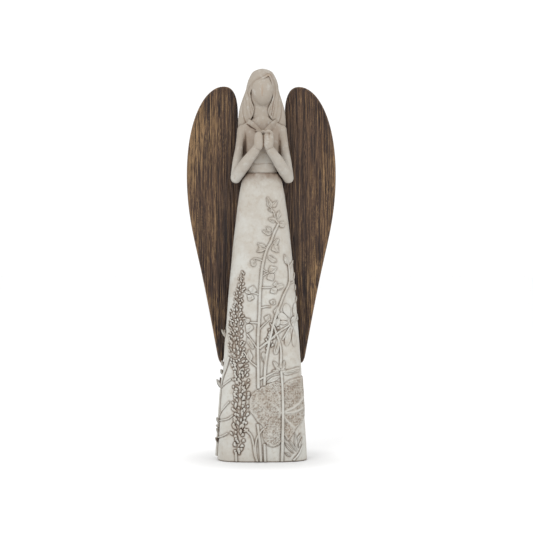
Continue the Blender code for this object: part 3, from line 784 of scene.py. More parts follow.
# The woman above the gown
body = {
    "voxel": 0.6,
    "smoothing": 5,
    # Height, half width, half depth, middle of the depth, squareness
    "bodice": [
        (286, 15.2, 11.8, 0.0, 2.2), (296, 15.8, 12.2, 0.0, 2.2), (305, 16.4, 12.9, -0.4, 2.2),
        (315, 17.3, 14.2, -0.8, 2.2), (324, 18.4, 14.0, -0.4, 2.2), (332, 20.6, 12.9, 0.4, 2.2),
        (338, 22.4, 11.4, 1.0, 2.2), (342.5, 20.6, 10.0, 1.2, 2.2), (346, 15.4, 8.8, 1.2, 2.2),
        (349.5, 10.2, 7.8, 0.8, 2.1), (354, 7.3, 7.0, 0.2, 2), (366, 6.6, 6.6, -0.8, 2),
        (374, 6.4, 6.4, -1.2, 2),
    ],
    "upperArm": (
        [(19.6, 1.2, 337.5), (22.0, 0.6, 320), (25.3, -0.6, 302), (26.9, -2.4, 288.6)],
        (5.9, 5.5, 5.5, 5.5),
    ),
    "foreArm": (
        [(26.9, -2.8, 288.2), (22.6, -8.5, 294.8), (16, -16.5, 304.2), (8.6, -23.6, 313.6),
         (5.0, -26.5, 318.5)],
        (5.5, 6.2, 5.8, 4.8, 4.2),
    ),
    "palms": [((-4.3, -26.8, 324.0), (4.9, 5.6, 9.4)), ((5.3, -26.8, 324.2), (5.4, 5.8, 9.3))],
    "palmSquareness": 0.8,
    "finger": (
        [(2.2, -30.4, 331.8), (4.0, -32.0, 333.6), (7.2, -31.6, 333.0), (9.4, -29.4, 330.6)],
        (1.2, 1.6, 1.6, 1.3),
    ),
    "head": ((0.2, -4.2, 378.2), (12.1, 13.4, 16.9)),
    "headSquareness": 0.88,
    "chinNarrowing": 0.16,
    # Balls under the edge of the hair: brow, temple, cheeks and nape
    "fillings": [((5.5, -4.5, 384), (7.5, 9.0, 9.5)), ((4, -4.3, 386.8), (8.5, 9.4, 8.2)),
                 ((-0.5, -2.2, 372), (14.2, 8.4, 14)), ((-0.5, -1, 362), (13, 6.4, 18))],
    # Middle line, widths and thicknesses
    "lapel": (
        [(17.5, 1.5, 346.0), (13.6, -4.6, 344.6), (9.8, -9.6, 341.4), (5.2, -13.2, 337.0),
         (1.0, -15.0, 333.2)],
        (8.0, 8.0, 7.0, 5.5, 4.0), (1.6, 1.7, 1.8, 1.8, 1.6),
    ),
    "knot": ((0.8, -16.2, 334.4), (2.6, 1.8, 2.0)),
    "lapelSlot": [(-15.6, 343.2), (-11.6, 339.6), (-7.4, 336.6)],
    # Upright marks: across, width, and the heights where they fade in and out
    "upright": {
        "seam": (0.2, 0.45, (314, 318, 334, 338)),
        "crease": (5.9, 0.5, (324, 327, 331, 333)),
        "nose": (-0.5, 1.6, (368, 373, 379, 384)),
    },
    "seamEnds": (314.6, 331.4),
    # How far each mark stands out, and how it takes the stain and the brown wash with painted shade
    "lift": {
        "nose": 0.55, "seam": -0.6, "crease": -0.8, "waist": 0.35, "fold": -0.3, "armhole": -1.1,
        "wrist": -0.35, "slot": -0.8,
    },
    "stain": {"crease": 0.3, "bridge": 0.5, "waist": 0.08, "fold": 0.1, "seam": 0.3, "throat": 0.35},
    # Brown wash and painted shade: darker in the armholes, under the lapel slot, on the chest and behind the
    # hands
    "washAndShade": {
        "armhole": 0.5, "seam": 0.3, "crease": 0.4, "fold": 0.1, "chest": 0.26, "waist": 0.1, "wrist": 0.15,
        "slot": 0.6, "rear": 0.12,
    },
}


def bodyParts():
    parts = [loft("bodice", body["bodice"])]
    for side in (-1, 1):
        for points, radii in (body["upperArm"], body["foreArm"]):
            line = [(side * x, y, z) for x, y, z in points]
            parts.append(tube("arm", line, radii, sides=5))
            for end, radius in ((line[0], radii[0]), (line[-1], radii[-1])):
                parts.append(ball("joint", end, (radius,) * 3))
    for middle, radii in body["palms"]:
        palm = ball("palm", (0, 0, 0), (1, 1, 1))
        places = squared(verticesOf(palm), body["palmSquareness"])
        moveVertices(palm, places * radii + middle)
        parts.append(palm)
    middle, radii = body["head"]
    head = ball("head", (0, 0, 0), (1, 1, 1), 48, 32)
    places = verticesOf(head)
    places[:, :2] = squared(places[:, :2], body["headSquareness"])
    narrow = 1 - body["chinNarrowing"] * np.clip(-places[:, 2], 0, 1)**1.2
    places = places * np.array(radii)
    places[:, 0] *= narrow
    moveVertices(head, places + np.array(middle))
    parts.append(head)
    parts.append(tube("finger", *body["finger"], sides=4))
    for middle, radii in (*body["fillings"], body["knot"]):
        parts.append(ball("filling", middle, radii))
    points, widths, thicknesses = body["lapel"]
    for side in (-1, 1):
        line = [(side * x, y, z) for x, y, z in points]
        parts.append(ribbon("lapel", line, widths, thicknesses, (0, 4, 0)))
    return parts


def bodyMarks(x, y, z):
    # Where the seams, creases and hollows lie, each from 0 to about 1
    wide = np.abs(x)
    front = smoothStep(-20, -24, y)
    upright = {
        name: ridge(x, middle, width) * window(z, *span)
        for name, (middle, width, span) in body["upright"].items()
    }
    seam = upright["seam"] * front
    for end in body["seamEnds"]:
        seam = np.maximum(seam, 1.4 * ridge(x, 0.2, 1.0) * ridge(z, end, 1.3) * front)
    armhole = ridge(wide, 17.8, 1 + 0.05 * np.clip(332 - z, 0, 25)) * window(z, 308, 311, 329, 337)
    nose = upright["nose"] * smoothStep(-12, -15, y)
    slotAway = lineDistance(np.column_stack([x, z]), np.array(body["lapelSlot"]))
    return {
        "seam": seam,
        "crease": 0.6 * upright["crease"] * front,
        "nose": nose,
        "bridge": nose * ridge(x, -0.5, 1.0),
        "armhole": armhole * window(y, -15, -12, -3, 0) * np.where(x > 0, 0.55, 1),
        "wrist": ridge(z, 313 + 0.45 * wide, 0.6) * smoothStep(12, 9, wide) * smoothStep(-20, -22, y),
        "waist": window(z, 293, 295, 300, 304) * smoothStep(24, 18, wide) * smoothStep(-18, -16, y),
        "fold": ridge(z, 302.3 + 0.5 * np.sin(x / 3), 0.6) * smoothStep(20, 15, wide)
        * smoothStep(-19, -16, y),
        "slot": ridge(slotAway, 0, 0.6) * smoothStep(0, -4, y),
        # rear and chest lie behind the hands and arms, for painted shade
        "rear": smoothStep(-18, -10, y) * window(z, 306, 314, 346, 352),
        "chest": window(z, 310, 318, 341, 348) * window(y, -17.5, -15.5, -8, -4),
        "throat": ridge(x, 1.5, 3) * ridge(z, 336, 4) * (0.5 + 0.5 * wander(x, z, 1.2, 1.2, 43)),
    }


def upperBody():
    obj = blended(bodyParts(), "woman", body["voxel"], body["smoothing"])
    places = verticesOf(obj)
    x, y, z = places.T
    marks = bodyMarks(x, y, z)
    lift, stain, washAndShade = (
        sum(share * marks[name] for name, share in body[effect].items())
        for effect in ("lift", "stain", "washAndShade")
    )
    lift += 0.12 * wander(x + y, z, 5, 6, 41) + 0.05 * wander(x - y, z, 1.6, 1.8, 42)
    moveVertices(obj, places + normalsOf(obj) * lift[:, None])
    return obj, stain, washAndShade


hair = {
    "voxel": 0.5,
    "smoothing": 7,
    # Height, half width, and the depths of its front, its widest place and its back
    "mass": [
        (400.5, 1.2, -1.2, 0.3, 1.8), (399.9, 4.0, -4.4, 0.4, 5.0), (398.9, 6.5, -7.4, 0.4, 8.0),
        (397.4, 8.9, -10.2, 0.5, 10.6), (395.2, 11.0, -12.6, 0.5, 13.0), (391, 13.2, -15.0, 0.6, 14.8),
        (387, 14.9, -15.9, 0.8, 15.6), (383, 16.0, -15.7, 1.0, 15.8), (378.8, 16.7, -14.4, 1.5, 15.8),
        (370.5, 19.6, -11.4, 2.0, 15.4), (360.3, 22.8, -8.8, 2.5, 15.0), (352, 24.2, -6.8, 3.0, 14.8),
        (343.8, 24.7, -4.0, 4.5, 15.0), (335, 24.0, 1.0, 8.0, 15.5), (323, 21.6, 3.5, 9.0, 15.7),
        (313, 16.0, 4.5, 9.2, 14.8), (306, 9.0, 5.8, 9.6, 13.4),
    ],
    # The edge of the hair round the face and neck, across and up
    "opening": [
        (6.3, 391.8), (8.3, 387), (9.6, 381.8), (10.3, 376), (10.4, 370.5), (8.9, 365.5), (6.7, 361),
        (5.6, 357), (6.6, 352.7), (9.8, 348), (13, 344.5), (14, 341), (-14, 341), (-11.8, 347.6),
        (-9.5, 352.7), (-8.4, 358), (-9.5, 362.5), (-11, 366.7), (-12, 372), (-11.8, 376), (-9.1, 380.8),
        (-4.5, 385), (0.6, 388), (4.2, 390.2),
    ],
    "openingBack": -1.0,
    "lean": 0.5,           # the crown leans to the figure's left
    "parting": (6.3, 391.8),
    # Width, length and seed of the waves, for the strands after the share of each
    "locks": (2.8, 50, 10),
    "strands": [(0.6, 1.2, 60, 11), (0.4, 0.7, 40, 12)],
    "lockDepth": 0.45,
    "strandDepth": 0.6,
    "axis": 2.5,
    "girthStep": 17,
}


def hairPiece():
    fine = smoothLine(hair["mass"], 6)

    def place(around, along):
        row = along * (len(fine) - 1)
        height, halfWidth, front, middle, back = (
            np.interp(row, np.arange(len(fine)), fine[:, k]) for k in range(5)
        )
        angle = 2 * math.pi * around
        inFront = np.sin(angle) < 0
        deep = np.where(inFront, middle - front, back - middle)
        square = np.where(inFront, 2.1, 2.5)
        return np.stack([
            halfWidth * squared(np.cos(angle), 2 / square) + hair["lean"] * smoothStep(370, 384, height),
            middle + deep * squared(np.sin(angle), 2 / square),
            height,
        ], 1)

    mass = tubeFromGrid("hair", 96, len(fine) - 1, place)
    edge = smoothLine([*hair["opening"], hair["opening"][0]], 3)[:-1]
    reach = hair["openingBack"] + 40

    def wall(around, along):
        at = np.round(around * len(edge)).astype(int) % len(edge)
        return np.column_stack([edge[at, 0], hair["openingBack"] - reach * (1 - along), edge[at, 1]])

    opening = tubeFromGrid("opening", len(edge), 1, wall)
    applyModifier(mass, "BOOLEAN", operation="DIFFERENCE", object=opening, solver="EXACT")
    bpy.data.objects.remove(opening)
    obj = blended([mass], "hair", hair["voxel"], hair["smoothing"])
    places = verticesOf(obj)
    x, y, z = places.T
    # Above the face the strands follow its edge. Behind and below they run down from the crown.
    px, pz = hair["parting"]
    away = -polygonDistance(np.column_stack([x, z]), edge)
    turned = np.abs(np.arctan2(x, hair["axis"] - y))
    behind = np.maximum(smoothStep(-7, 3, y), smoothStep(378, 364, z))
    line = away * (1 - behind) + (turned * hair["girthStep"] - 10) * behind
    kept = np.where(y < 2, smoothStep(0.2, 2.5, away), 1) * smoothStep(400, 397, z)
    locks = wander(line, z + 2 * line, *hair["locks"])
    strands = sum(share * wander(line, z, *spot) for share, *spot in hair["strands"])
    lift = (strands * hair["strandDepth"] + locks * hair["lockDepth"]) * kept
    moveVertices(obj, places + normalsOf(obj) * lift[:, None])
    stain = 0.6 * ridge(x, px, 2.2) * ridge(z, pz, 2.2)
    # The last value darkens the grooves between the strands: brown wash and painted shade
    return obj, stain, np.clip(-lift / 0.5, 0, 1)


# The wings
wing = {
    "reach": 77.4,
    "breadth": 62.9,
    "tip": 97.3,
    "length": 286.7,
    "face": 12.5,
    "thickness": 9.0,
    "edge": 2.6,
    "frontColumns": 150,
    "backColumns": 80,
    "edgeColumns": 4,
    "rows": 400,
    "grain": 0.6,
    # Layers of the grain: share, width, length and step of the seed, and no share for the fine one
    "coarse": [(1.0, 2.4, 60, 0), (0.6, 1.2, 30, 2)],
    "cracks": [(1.0, 3.0, 80, 4), (0.8, 1.7, 50, 8)],
    "fine": (0.6, 10, 6),
    "crackWidth": 0.2,
    "seed": 20,
    # Knots of the outline with the handles before and after, as shares inwards and up
    "knots": [
        ((0.000, 0.680), (0.000, 0.888), (0.000, 0.550)), ((0.196, 0.373), (0.110, 0.460), (0.316, 0.261)),
        ((0.510, 0.025), (0.460, 0.083), (0.531, 0.007)), ((0.579, 0.000), (0.550, 0.000), (0.618, 0.000)),
        ((1.030, 0.623), (0.932, 0.310), (1.060, 0.721)), ((0.843, 0.888), (0.932, 0.819), (0.849, 0.962)),
        ((0.610, 1.000), (0.777, 1.000), (0.308, 1.000)),
    ],
}


def wingOutline():
    points = []
    knots = wing["knots"]
    for (a, _, after), (b, before, _) in zip(knots, knots[1:] + knots[:1]):
        a, after, before, b = (np.array(p) for p in (a, after, before, b))
        for t in np.linspace(0, 1, 24, endpoint=False):
            u = 1 - t
            points.append(u**3 * a + 3 * t * u**2 * after + 3 * t * t * u * before + t**3 * b)
    points = np.array(points)
    inward, up = points.T
    return np.column_stack([wing["reach"] - inward * wing["breadth"], wing["tip"] + up * wing["length"]])


def wingSides(outline):
    # The outline parted at its highest and lowest points
    lowest, highest = int(outline[:, 1].argmin()), int(outline[:, 1].argmax())
    order = np.roll(outline, -highest, axis=0)
    turnAt = (lowest - highest) % len(outline)
    outer, inner = order[:turnAt + 1], np.vstack([order[turnAt:], order[:1]])
    if outer[:, 0].max() < inner[:, 0].max():
        outer, inner = inner, outer
    return outer[outer[:, 1].argsort()], inner[inner[:, 1].argsort()]


def wingGrain(x, height, seed):
    # Lines that run the length of the wing and lean with its edges
    lean = (x - 45) * (1 + 0.12 * (height - 240) / 140)
    coarse = sum(share * wander(lean, height, width, length, seed + step)
                 for share, width, length, step in wing["coarse"])
    cracks = 0
    for share, width, length, step in wing["cracks"]:
        away = np.abs(wander(lean, height, width, length, seed + step)) / wing["crackWidth"]
        cracks = np.maximum(cracks, share * np.clip(1 - away, 0, 1))
    width, length, step = wing["fine"]
    fine = wander(lean, height, width, length, seed + step)
    return wing["grain"] * (0.4 * coarse + 0.3 * fine - 1.1 * cracks)


def wingPiece(side):
    outline = wingOutline()
    low, high = outline[:, 1].min(), outline[:, 1].max()
    outer, inner = wingSides(outline)
    columns = wing["frontColumns"] + wing["backColumns"] + 2 * wing["edgeColumns"]
    half, edge = wing["thickness"] / 2, wing["edge"]
    firstEnd = wing["frontColumns"]
    edgeEnd = firstEnd + wing["edgeColumns"]
    backEnd = edgeEnd + wing["backColumns"]

    def place(around, along):
        height = low + (high - low) * (1 - np.cos(math.pi * along)) / 2 * 0.35 + (high - low) * along * 0.65
        height = np.clip(height, low, high)
        x0, x1 = np.interp(height, inner[:, 1], inner[:, 0]), np.interp(height, outer[:, 1], outer[:, 0])
        column = np.round(around * columns)
        over = np.select(
            [column <= firstEnd, column <= edgeEnd, column <= backEnd],
            [column / firstEnd, 1.0, 1 - (column - edgeEnd) / wing["backColumns"]], 0.0)
        eased = 0.5 - 0.5 * np.cos(math.pi * over)
        over = 0.6 * over + 0.4 * eased
        x = x0 + (x1 - x0) * over
        front = np.select(
            [column <= firstEnd, column <= edgeEnd, column <= backEnd],
            [1.0, 1 - 2 * (column - firstEnd) / wing["edgeColumns"], -1.0],
            -1 + 2 * (column - backEnd) / wing["edgeColumns"])
        depth = np.abs(polygonDistance(np.column_stack([x, height]), outline))
        depth = np.where((over <= 0) | (over >= 1), 0, depth)
        inward = np.clip(1 - depth / edge, 0, 1)
        rounded = edge * drawnIn(1 - inward)
        relief = wingGrain(x, height, wing["seed"] + (side > 0)) * smoothStep(0.3, 1.6, depth)
        y = wing["face"] + half - front * (half - rounded * np.abs(front))
        y -= np.sign(front) * relief * (np.abs(front) > 0.99)
        return np.stack([side * x, y, height], 1)

    return tubeFromGrid("wingLeft" if side > 0 else "wingRight", columns, wing["rows"], place)


# Finishes
def tint(red, green, blue):
    # From the 0 to 255 of a colour chooser to what a shader takes
    shares = [v / 255 for v in (red, green, blue)]
    return tuple(v / 12.92 if v <= 0.04045 else ((v + 0.055) / 1.055)**2.4 for v in shares) + (1.0,)


class Wire:
    # The output of a node, which sums and products can be written with
    def __init__(self, finish, socket):
        self.finish, self.socket = finish, socket

    def combined(self, kind, first, second):
        return self.finish.node("Math", {"operation": kind}, {0: first, 1: second})

    def __add__(self, other):
        return self.combined("ADD", self, other)

    def __radd__(self, other):
        return self.combined("ADD", other, self)

    def __sub__(self, other):
        return self.combined("SUBTRACT", self, other)

    def __rsub__(self, other):
        return self.combined("SUBTRACT", other, self)

    def __mul__(self, other):
        return self.combined("MULTIPLY", self, other)

    def __rmul__(self, other):
        return self.combined("MULTIPLY", other, self)


class Finish:
    def __init__(self, name):
        self.material = bpy.data.materials.new(name)
        self.material.use_nodes = True
        self.tree = self.material.node_tree
        self.shader = self.tree.nodes["Principled BSDF"]

    def put(self, socket, value):
        if isinstance(value, Wire):
            self.tree.links.new(value.socket, socket)
        else:
            socket.default_value = value

    def node(self, kind, settings=None, sockets=None, out=0):
        made = self.tree.nodes.new("ShaderNode" + kind)
        for key, value in (settings or {}).items():
            setattr(made, key, value)
        for key, value in (sockets or {}).items():
            self.put(made.inputs[key], value)
        return Wire(self, made.outputs[out])

    def place(self):
        return self.node("TexCoord", out="Object")

    def stretched(self, scale):
        return self.node("Mapping", sockets={"Vector": self.place(), "Scale": scale})

    def noise(self, scale, detail=3.0, rough=0.5, vector=None):
        return self.node("TexNoise", sockets={
            "Vector": vector or self.place(), "Scale": scale, "Detail": detail, "Roughness": rough})

    def painted(self, name):
        return self.node("Attribute", {"attribute_name": name}, out="Fac")

    def closed(self, distance):
        # Ambient occlusion, used for painted shade: 0 in the open, towards 1 where other surfaces stand so
        # near
        return 1 - self.node("AmbientOcclusion", {"samples": 6}, {"Distance": distance}, out="AO")

    def between(self, value, low, high):
        return self.node("MapRange", {"clamp": True, "interpolation_type": "SMOOTHSTEP"},
                         {"Value": value, "From Min": low, "From Max": high})

    def mixed(self, share, first, second):
        return self.node("Mix", {"data_type": "RGBA"}, {0: share, 6: first, 7: second}, out=2)

    def finish(self, colour, roughness, bump, strength, distance):
        self.put(self.shader.inputs["Base Color"], colour)
        self.put(self.shader.inputs["Roughness"], roughness)
        normal = self.node("Bump", sockets={"Strength": strength, "Distance": distance, "Height": bump})
        self.put(self.shader.inputs["Normal"], normal)
        self.shader.inputs["Specular IOR Level"].default_value = 0.3
        return self.material


resin = {
    "light": tint(188, 187, 181),
    "middle": tint(177, 172, 163),
    "tan": tint(158, 145, 129),
    "upper": tint(155, 145, 133),
    # Brown of the wash, also painted as shade into crevices and hollows
    "washAndShade": tint(112, 92, 75),
    # Near black painted shade for the deepest crevices
    "deep": tint(50, 35, 25),
    "stain": tint(150, 118, 88),
    "crevice": 0.0020,     # how near a wall must be for the wash and painted shade of crevices to gather
    # How far the wider painted shade of recesses reaches
    "recess": 0.014,
    # The upper parts are browner: heights in metres between which each share comes in
    "browner": [(0.15, 0.29, 0.26), (0.285, 0.297, 0.32), (0.3, 0.325, 0.34)],
    # Scale, detail and roughness of each pattern
    "clouds": (40.0, 4.0, 0.6),
    "blotches": (170.0, 4.0, 0.65),
    "specks": (380.0, 3.0, 0.6),
    "spots": (440.0, 2.5, 0.7),
    "grit": (1500.0, 2.0, 0.6),
}


def resinFinish(name, mottle=0.0):
    f = Finish(name)
    clouds, blotches, specks, grit = (
        f.noise(*resin[pattern]) for pattern in ("clouds", "blotches", "specks", "grit")
    )
    colour = f.mixed(f.between(clouds, 0.35, 0.65), resin["middle"], resin["light"])
    colour = f.mixed(f.between(specks, 0.55, 0.8) * 0.4, colour, resin["tan"])
    height = f.node("SeparateXYZ", sockets={0: f.place()}, out=2)
    browner = 0.0
    for low, high, share in resin["browner"]:
        browner = browner + f.between(height, low, high) * share
    colour = f.mixed(browner, colour, resin["upper"])
    colour = f.mixed(f.between(blotches, 0.52, 0.68) * 0.35, colour, resin["tan"])
    colour = f.mixed(f.between(blotches, 0.46, 0.32) * 0.35, colour, resin["light"])
    if mottle:
        spots = f.between(f.noise(*resin["spots"]), 0.5, 0.64) * (1 - f.painted("rib"))
        colour = f.mixed(mottle * 0.25, colour, resin["tan"])
        colour = f.mixed(spots * mottle, colour, resin["washAndShade"])
        colour = f.mixed(f.painted("rib") * 0.6, colour, resin["light"])
    # Brown wash and painted shade: the painted attribute plus occlusion darkening in crevices and recesses,
    # broken by the blotches
    washAndShade = f.painted("washAndShade") + f.closed(resin["crevice"]) * (0.5 if mottle else 0.66)
    washAndShade = washAndShade + f.closed(resin["recess"]) * 0.24 + (blotches - 0.5) * 0.4
    colour = f.mixed(f.between(washAndShade, 0.0, 0.85) * 0.85, colour, resin["washAndShade"])
    colour = f.mixed(f.between(washAndShade, 0.6, 1.2) * 0.8, colour, resin["deep"])
    colour = f.mixed(f.painted("stain") * f.between(specks, 0.3, 0.6) * 0.8, colour, resin["stain"])
    bump = clouds * 0.2 + specks * 0.5 + grit * 0.3
    return f.finish(colour, 0.72 + (specks - 0.5) * 0.1, bump, 0.35, 0.0004)


wood = {
    "black": tint(24, 16, 15),
    "dark": tint(50, 34, 28),
    "brown": tint(88, 65, 46),
    "gold": tint(153, 123, 85),
    "rim": tint(112, 86, 60),
    # Scale along each axis, detail and roughness of the grain
    "bands": ((260, 260, 6), 3.0, 0.5),
    "streaks": ((1250, 1250, 26), 3.0, 0.55),
    "lines": ((2700, 2700, 90), 3.0, 0.6),
    "patches": (14.0, 3.0, 0.5),
    "flecks": (950.0, 2.0, 0.6),
    "outer": (0.035, 0.072),
    # How far the painted shade reaches from other surfaces
    "recess": 0.03,
}


def woodFinish():
    f = Finish("stainedWings")
    relief = f.painted("relief")
    bands, streaks, lines = (
        f.noise(1.0, detail, rough, f.stretched(scale))
        for scale, detail, rough in (wood["bands"], wood["streaks"], wood["lines"])
    )
    patches = f.noise(*wood["patches"])
    across = f.node("SeparateXYZ", sockets={0: f.place()}, out=0)
    outer = f.between(f.node("Math", {"operation": "ABSOLUTE"}, {0: across}), *wood["outer"])
    colour = f.mixed(f.between(streaks + (bands - 0.5) * 0.5, 0.42, 0.58), wood["dark"], wood["brown"])
    flecks = f.between(f.noise(*wood["flecks"]), 0.58, 0.68)
    worn = lines * 0.6 + streaks * 0.4 + (patches - 0.5) * 0.3 + (bands - 0.5) * 0.2 + outer * 0.04
    worn = f.between(worn, 0.55, 0.63)
    colour = f.mixed(worn * 0.72, colour, wood["gold"])
    colour = f.mixed(flecks * 0.2, colour, wood["gold"])
    colour = f.mixed(f.painted("rim") * f.between(streaks, 0.4, 0.55) * 0.7, colour, wood["rim"])
    cracked = f.between(streaks * 0.5 + lines * 0.5 + (bands - 0.5) * 0.4, 0.46, 0.39)
    colour = f.mixed(cracked * 0.9, colour, wood["black"])
    colour = f.mixed(f.between(relief, 0.44, 0.2) * 0.9, colour, wood["black"])
    # Painted shade: near black where other surfaces stand near, as beside the figure
    colour = f.mixed(f.between(f.closed(wood["recess"]), 0.0, 0.55) * 0.6, colour, wood["black"])
    bump = lines * 0.5 + streaks * 0.5
    return f.finish(colour, 0.55 + (lines - 0.5) * 0.2, bump, 0.6, 0.0006)


def toMetres(obj):
    places = verticesOf(obj) * mm
    places[:, 2] = np.maximum(places[:, 2], 0)
    moveVertices(obj, places)
    alone(obj)
    bpy.ops.object.shade_smooth()


def seat(obj, node, material):
    obj.data.materials.clear()
    obj.data.materials.append(material)
    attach(obj, "root")
    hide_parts(node)


# Small fans that stand out from the left side of the gown in the front view
sideFans = {
    # How far down in the front view, and how far out, up and wide each lobe reaches
    "lobes": [
        (388, 5.5, 10, 5.0), (388, 1.8, 12, 4.0), (374, 2.4, 5.5, 4.0), (366, 2.2, 6, 4.0),
        (337, 4.2, 8, 4.5), (337, 1.2, 8, 3.5), (422, 3.4, 5.5, 4.5), (426, 3.6, 1.5, 3.5),
        (432, 3.0, 4.5, 3.5), (441, 3.2, 4.5, 4.0),
    ],
    "sunk": 1.0,
    "footDepth": -4.0,
    "tipDepth": -7.0,
    "thickness": 2.4,
}


def sideSprays(leaf):
    stamps = []
    own, faces = leaf
    for down, out, up, width in sideFans["lobes"]:
        height = view["eyeHeight"] + (view["imageSize"] / 2 - down) * view["step"]
        halfWidth = gownSizes(height)[0]
        foot = np.array([sideFans["sunk"] - halfWidth, sideFans["footDepth"], height])
        tip = np.array([-halfWidth - out, sideFans["tipDepth"], height + up])
        ahead = tip - foot
        beside = np.cross(ahead, (0.25, 1, 0))
        beside *= width / np.linalg.norm(beside)
        deep = np.cross(beside, ahead)
        deep *= sideFans["thickness"] / np.linalg.norm(deep)
        stamps.append((foot + own @ np.array([ahead, beside, deep]), faces))
    obj = gathered("sideSprays", stamps)
    facesOut(obj)
    return obj


# How strongly the brown wash and the painted shade lie in each place
washAndShadeShares = {
    "reliefFoot": 0.2,      # where the relief meets the gown
    "spikeFoot": 0.45,
    "leafPits": 0.24,
    "underStems": 0.3,
    "around": 0.18,         # on the gown round the relief, and close beside it
    "beside": 0.16,
    "underSpike": 0.4,
    # The next two: darker towards the top of the gown
    "waist": 0.26,
    "waistPatches": 0.45,
    "sprays": 0.15,
    "hollows": 0.4,
    "underHair": 0.12,
    "strands": 0.6,
    "besideFace": 0.1,
}

# Making the pieces
stemsPiece, leavesPiece, leaf = stemsAndLeaves()
bud = shapeOf(budTemplate())
spikePiece = gathered("flowerSpike", budTiers(bud, spike) + budTiers(bud, budCluster))
daisyPiece = daisyFlower(bud)
broadLeafObj = broadLeafPiece()
relief = [stemsPiece, leavesPiece, spikePiece, daisyPiece, broadLeafObj]
print("relief drawn")
gownObj = gownBody(treeOf(relief))
print("gown made")
# Brown wash and painted shade, darker where each relief piece meets the gown
for obj in relief:
    flat = verticesOf(obj)
    if obj == broadLeafObj:
        leafWashAndShade = washAndShadeShares["leafPits"] * smoothStep(1.2, 0.2, flat[:, 2])
    elif obj == spikePiece:
        paint(obj, "washAndShade", washAndShadeShares["spikeFoot"] * smoothStep(1.5, -0.2, flat[:, 2]))
    else:
        paint(obj, "washAndShade", washAndShadeShares["reliefFoot"] * smoothStep(0.7, -0.1, flat[:, 2]))
    moveVertices(obj, onGown(*flat.T))
spraysPiece = sideSprays(leaf)
womanObj, womanStain, womanWashAndShade = upperBody()
hairObj, hairStain, hairHollows = hairPiece()
print("woman made")
wings = [wingPiece(1), wingPiece(-1)]
print("wings made")

# Brown wash and painted shade on the gown beside the relief and under the spike, and darker towards its top
wrapped = treeOf([*relief, spraysPiece])
places = verticesOf(gownObj)
height = places[:, 2]
close = nearness(places + (0.3, 0, -0.2), wrapped, 6.0)    # the painted shade and wash lie thicker on the left of the relief and above it, like a shadow
broken = 0.75 + 0.45 * wander(places[:, 0], height, 3, 4, 51)
faint = 1 - 0.5 * smoothStep(130, 190, height)
spikeClose = nearness(places, treeOf([spikePiece]), 3.0)
gownWashAndShade = (washAndShadeShares["around"] * close**2 + washAndShadeShares["beside"] * smoothStep(0.76, 0.93, close)) * broken * faint
gownWashAndShade += washAndShadeShares["underSpike"] * smoothStep(0.3, 0.9, spikeClose)
gownWashAndShade += washAndShadeShares["waistPatches"] * smoothStep(282, 293.5, height) * broken
gownWashAndShade += washAndShadeShares["waist"] * smoothStep(270, 288, height)
paint(gownObj, "washAndShade", gownWashAndShade)
# Painted shade and brown wash on the broad leaf under the stems, in the hollows of the sprays, the woman and
# the hair, and where hair and body meet
stemClose = nearness(verticesOf(broadLeafObj), treeOf([stemsPiece]), 1.6)
paint(broadLeafObj, "washAndShade", leafWashAndShade + washAndShadeShares["underStems"] * smoothStep(0.2, 0.8, stemClose))
paint(spraysPiece, "washAndShade", washAndShadeShares["sprays"] + hollows(spraysPiece, 4, 0.5))
hairClose = nearness(verticesOf(womanObj), treeOf([hairObj]), 2.2)**1.5
womanWashAndShade = womanWashAndShade + washAndShadeShares["hollows"] * hollows(womanObj, 14, 0.45) + washAndShadeShares["underHair"] * hairClose
paint(womanObj, "washAndShade", womanWashAndShade)
paint(womanObj, "stain", womanStain)
womanClose = nearness(verticesOf(hairObj), treeOf([womanObj]), 2.2)**1.5
hairWashAndShade = washAndShadeShares["hollows"] * hollows(hairObj, 8, 0.5) + washAndShadeShares["strands"] * hairHollows
paint(hairObj, "washAndShade", hairWashAndShade + washAndShadeShares["besideFace"] * womanClose)
paint(hairObj, "stain", hairStain)
outline = wingOutline()
for obj in wings:
    places = verticesOf(obj)
    smooth = spread(obj, places, 6)
    paint(obj, "relief", 0.5 + ((places - smooth) * normalsOf(obj)).sum(1) / 0.8)
    inward = polygonDistance(np.column_stack([np.abs(places[:, 0]), places[:, 2]]), outline)
    paint(obj, "rim", smoothStep(1.8, 0.4, inward))

plainResin, leafResin, stained = resinFinish("paleResin"), resinFinish("paleResinMottled", 0.65), woodFinish()
for obj in (gownObj, womanObj, hairObj, spraysPiece, *relief):
    toMetres(obj)
    seat(obj, "figure", leafResin if obj == broadLeafObj else plainResin)
for obj, node in zip(wings, ("wing_left", "wing_right")):
    toMetres(obj)
    seat(obj, node, stained)


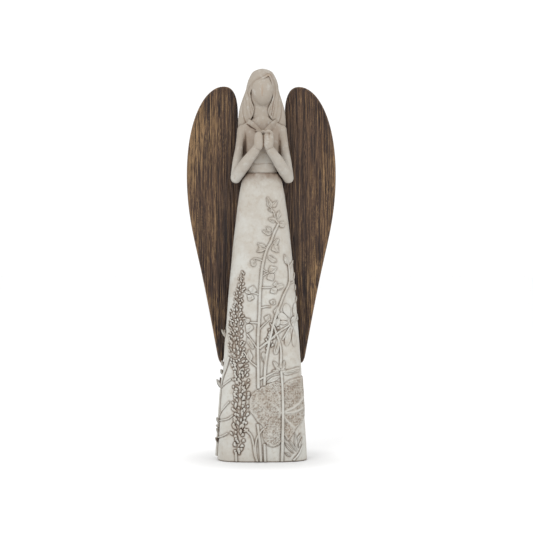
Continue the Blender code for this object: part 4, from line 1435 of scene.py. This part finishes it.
# Stage, light and camera
# Painted shadow: the floor is a little greyer under the figure, so that its shadow shows
floorTones = {"near": (0.77, 0.77, 0.77, 1), "far": (0.93, 0.93, 0.93, 1), "from": 0.05, "to": 0.11}
lights = [
    # Name, power, size and place
    ("keyLight", 12, 1.0, (-0.9, -1.5, 1.5)),
    ("fillLight", 4, 1.2, (1.2, -1.2, 0.8)),
]
litSpot = (0, 0, 0.2)
worldStrength = 1.08


def floorFinish():
    f = Finish("floorWhite")
    away = f.node("VectorMath", {"operation": "LENGTH"}, {0: f.place()}, out=1)
    share = f.between(away, floorTones["from"], floorTones["to"])
    colour = f.mixed(share, floorTones["near"], floorTones["far"])
    return f.finish(colour, 0.9, f.noise(8.0), 0.0, 0.001)


bpy.ops.object.select_all(action="DESELECT")
bpy.ops.mesh.primitive_plane_add(size=60, location=(0, 0, 0))
floor = bpy.context.view_layer.objects.active
floor.name = "floor"
floor.data.materials.append(floorFinish())


def softLight(name, power, size, place):
    data = bpy.data.lights.new(name, "AREA")
    data.energy = power
    data.size = size
    obj = bpy.data.objects.new(name, data)
    bpy.context.scene.collection.objects.link(obj)
    obj.location = place
    obj.rotation_euler = (Vector(litSpot) - Vector(place)).to_track_quat("-Z", "Y").to_euler()


for light in lights:
    softLight(*light)

world = bpy.data.worlds.new("studio")
world.use_nodes = True
sky = world.node_tree.nodes["Background"].inputs
sky[0].default_value = (1, 1, 1, 1)
sky[1].default_value = worldStrength
bpy.context.scene.world = world
bpy.context.scene.view_settings.view_transform = "Standard"

turn = math.radians(view["azimuth"])
distance = view["eyeDistance"] * mm
aim = Vector((view["aimAcross"] * mm, 0, view["eyeHeight"] * mm))
cameraData = bpy.data.cameras.new("camera")
cameraData.sensor_width = view["sensor"]
cameraData.lens = view["sensor"] * view["eyeDistance"] / (view["imageSize"] * view["step"])
camera = bpy.data.objects.new("camera", cameraData)
bpy.context.scene.collection.objects.link(camera)
camera.location = aim + Vector((math.sin(turn), -math.cos(turn), 0)) * distance
camera.rotation_euler = (math.pi / 2, 0, turn)
bpy.context.scene.camera = camera
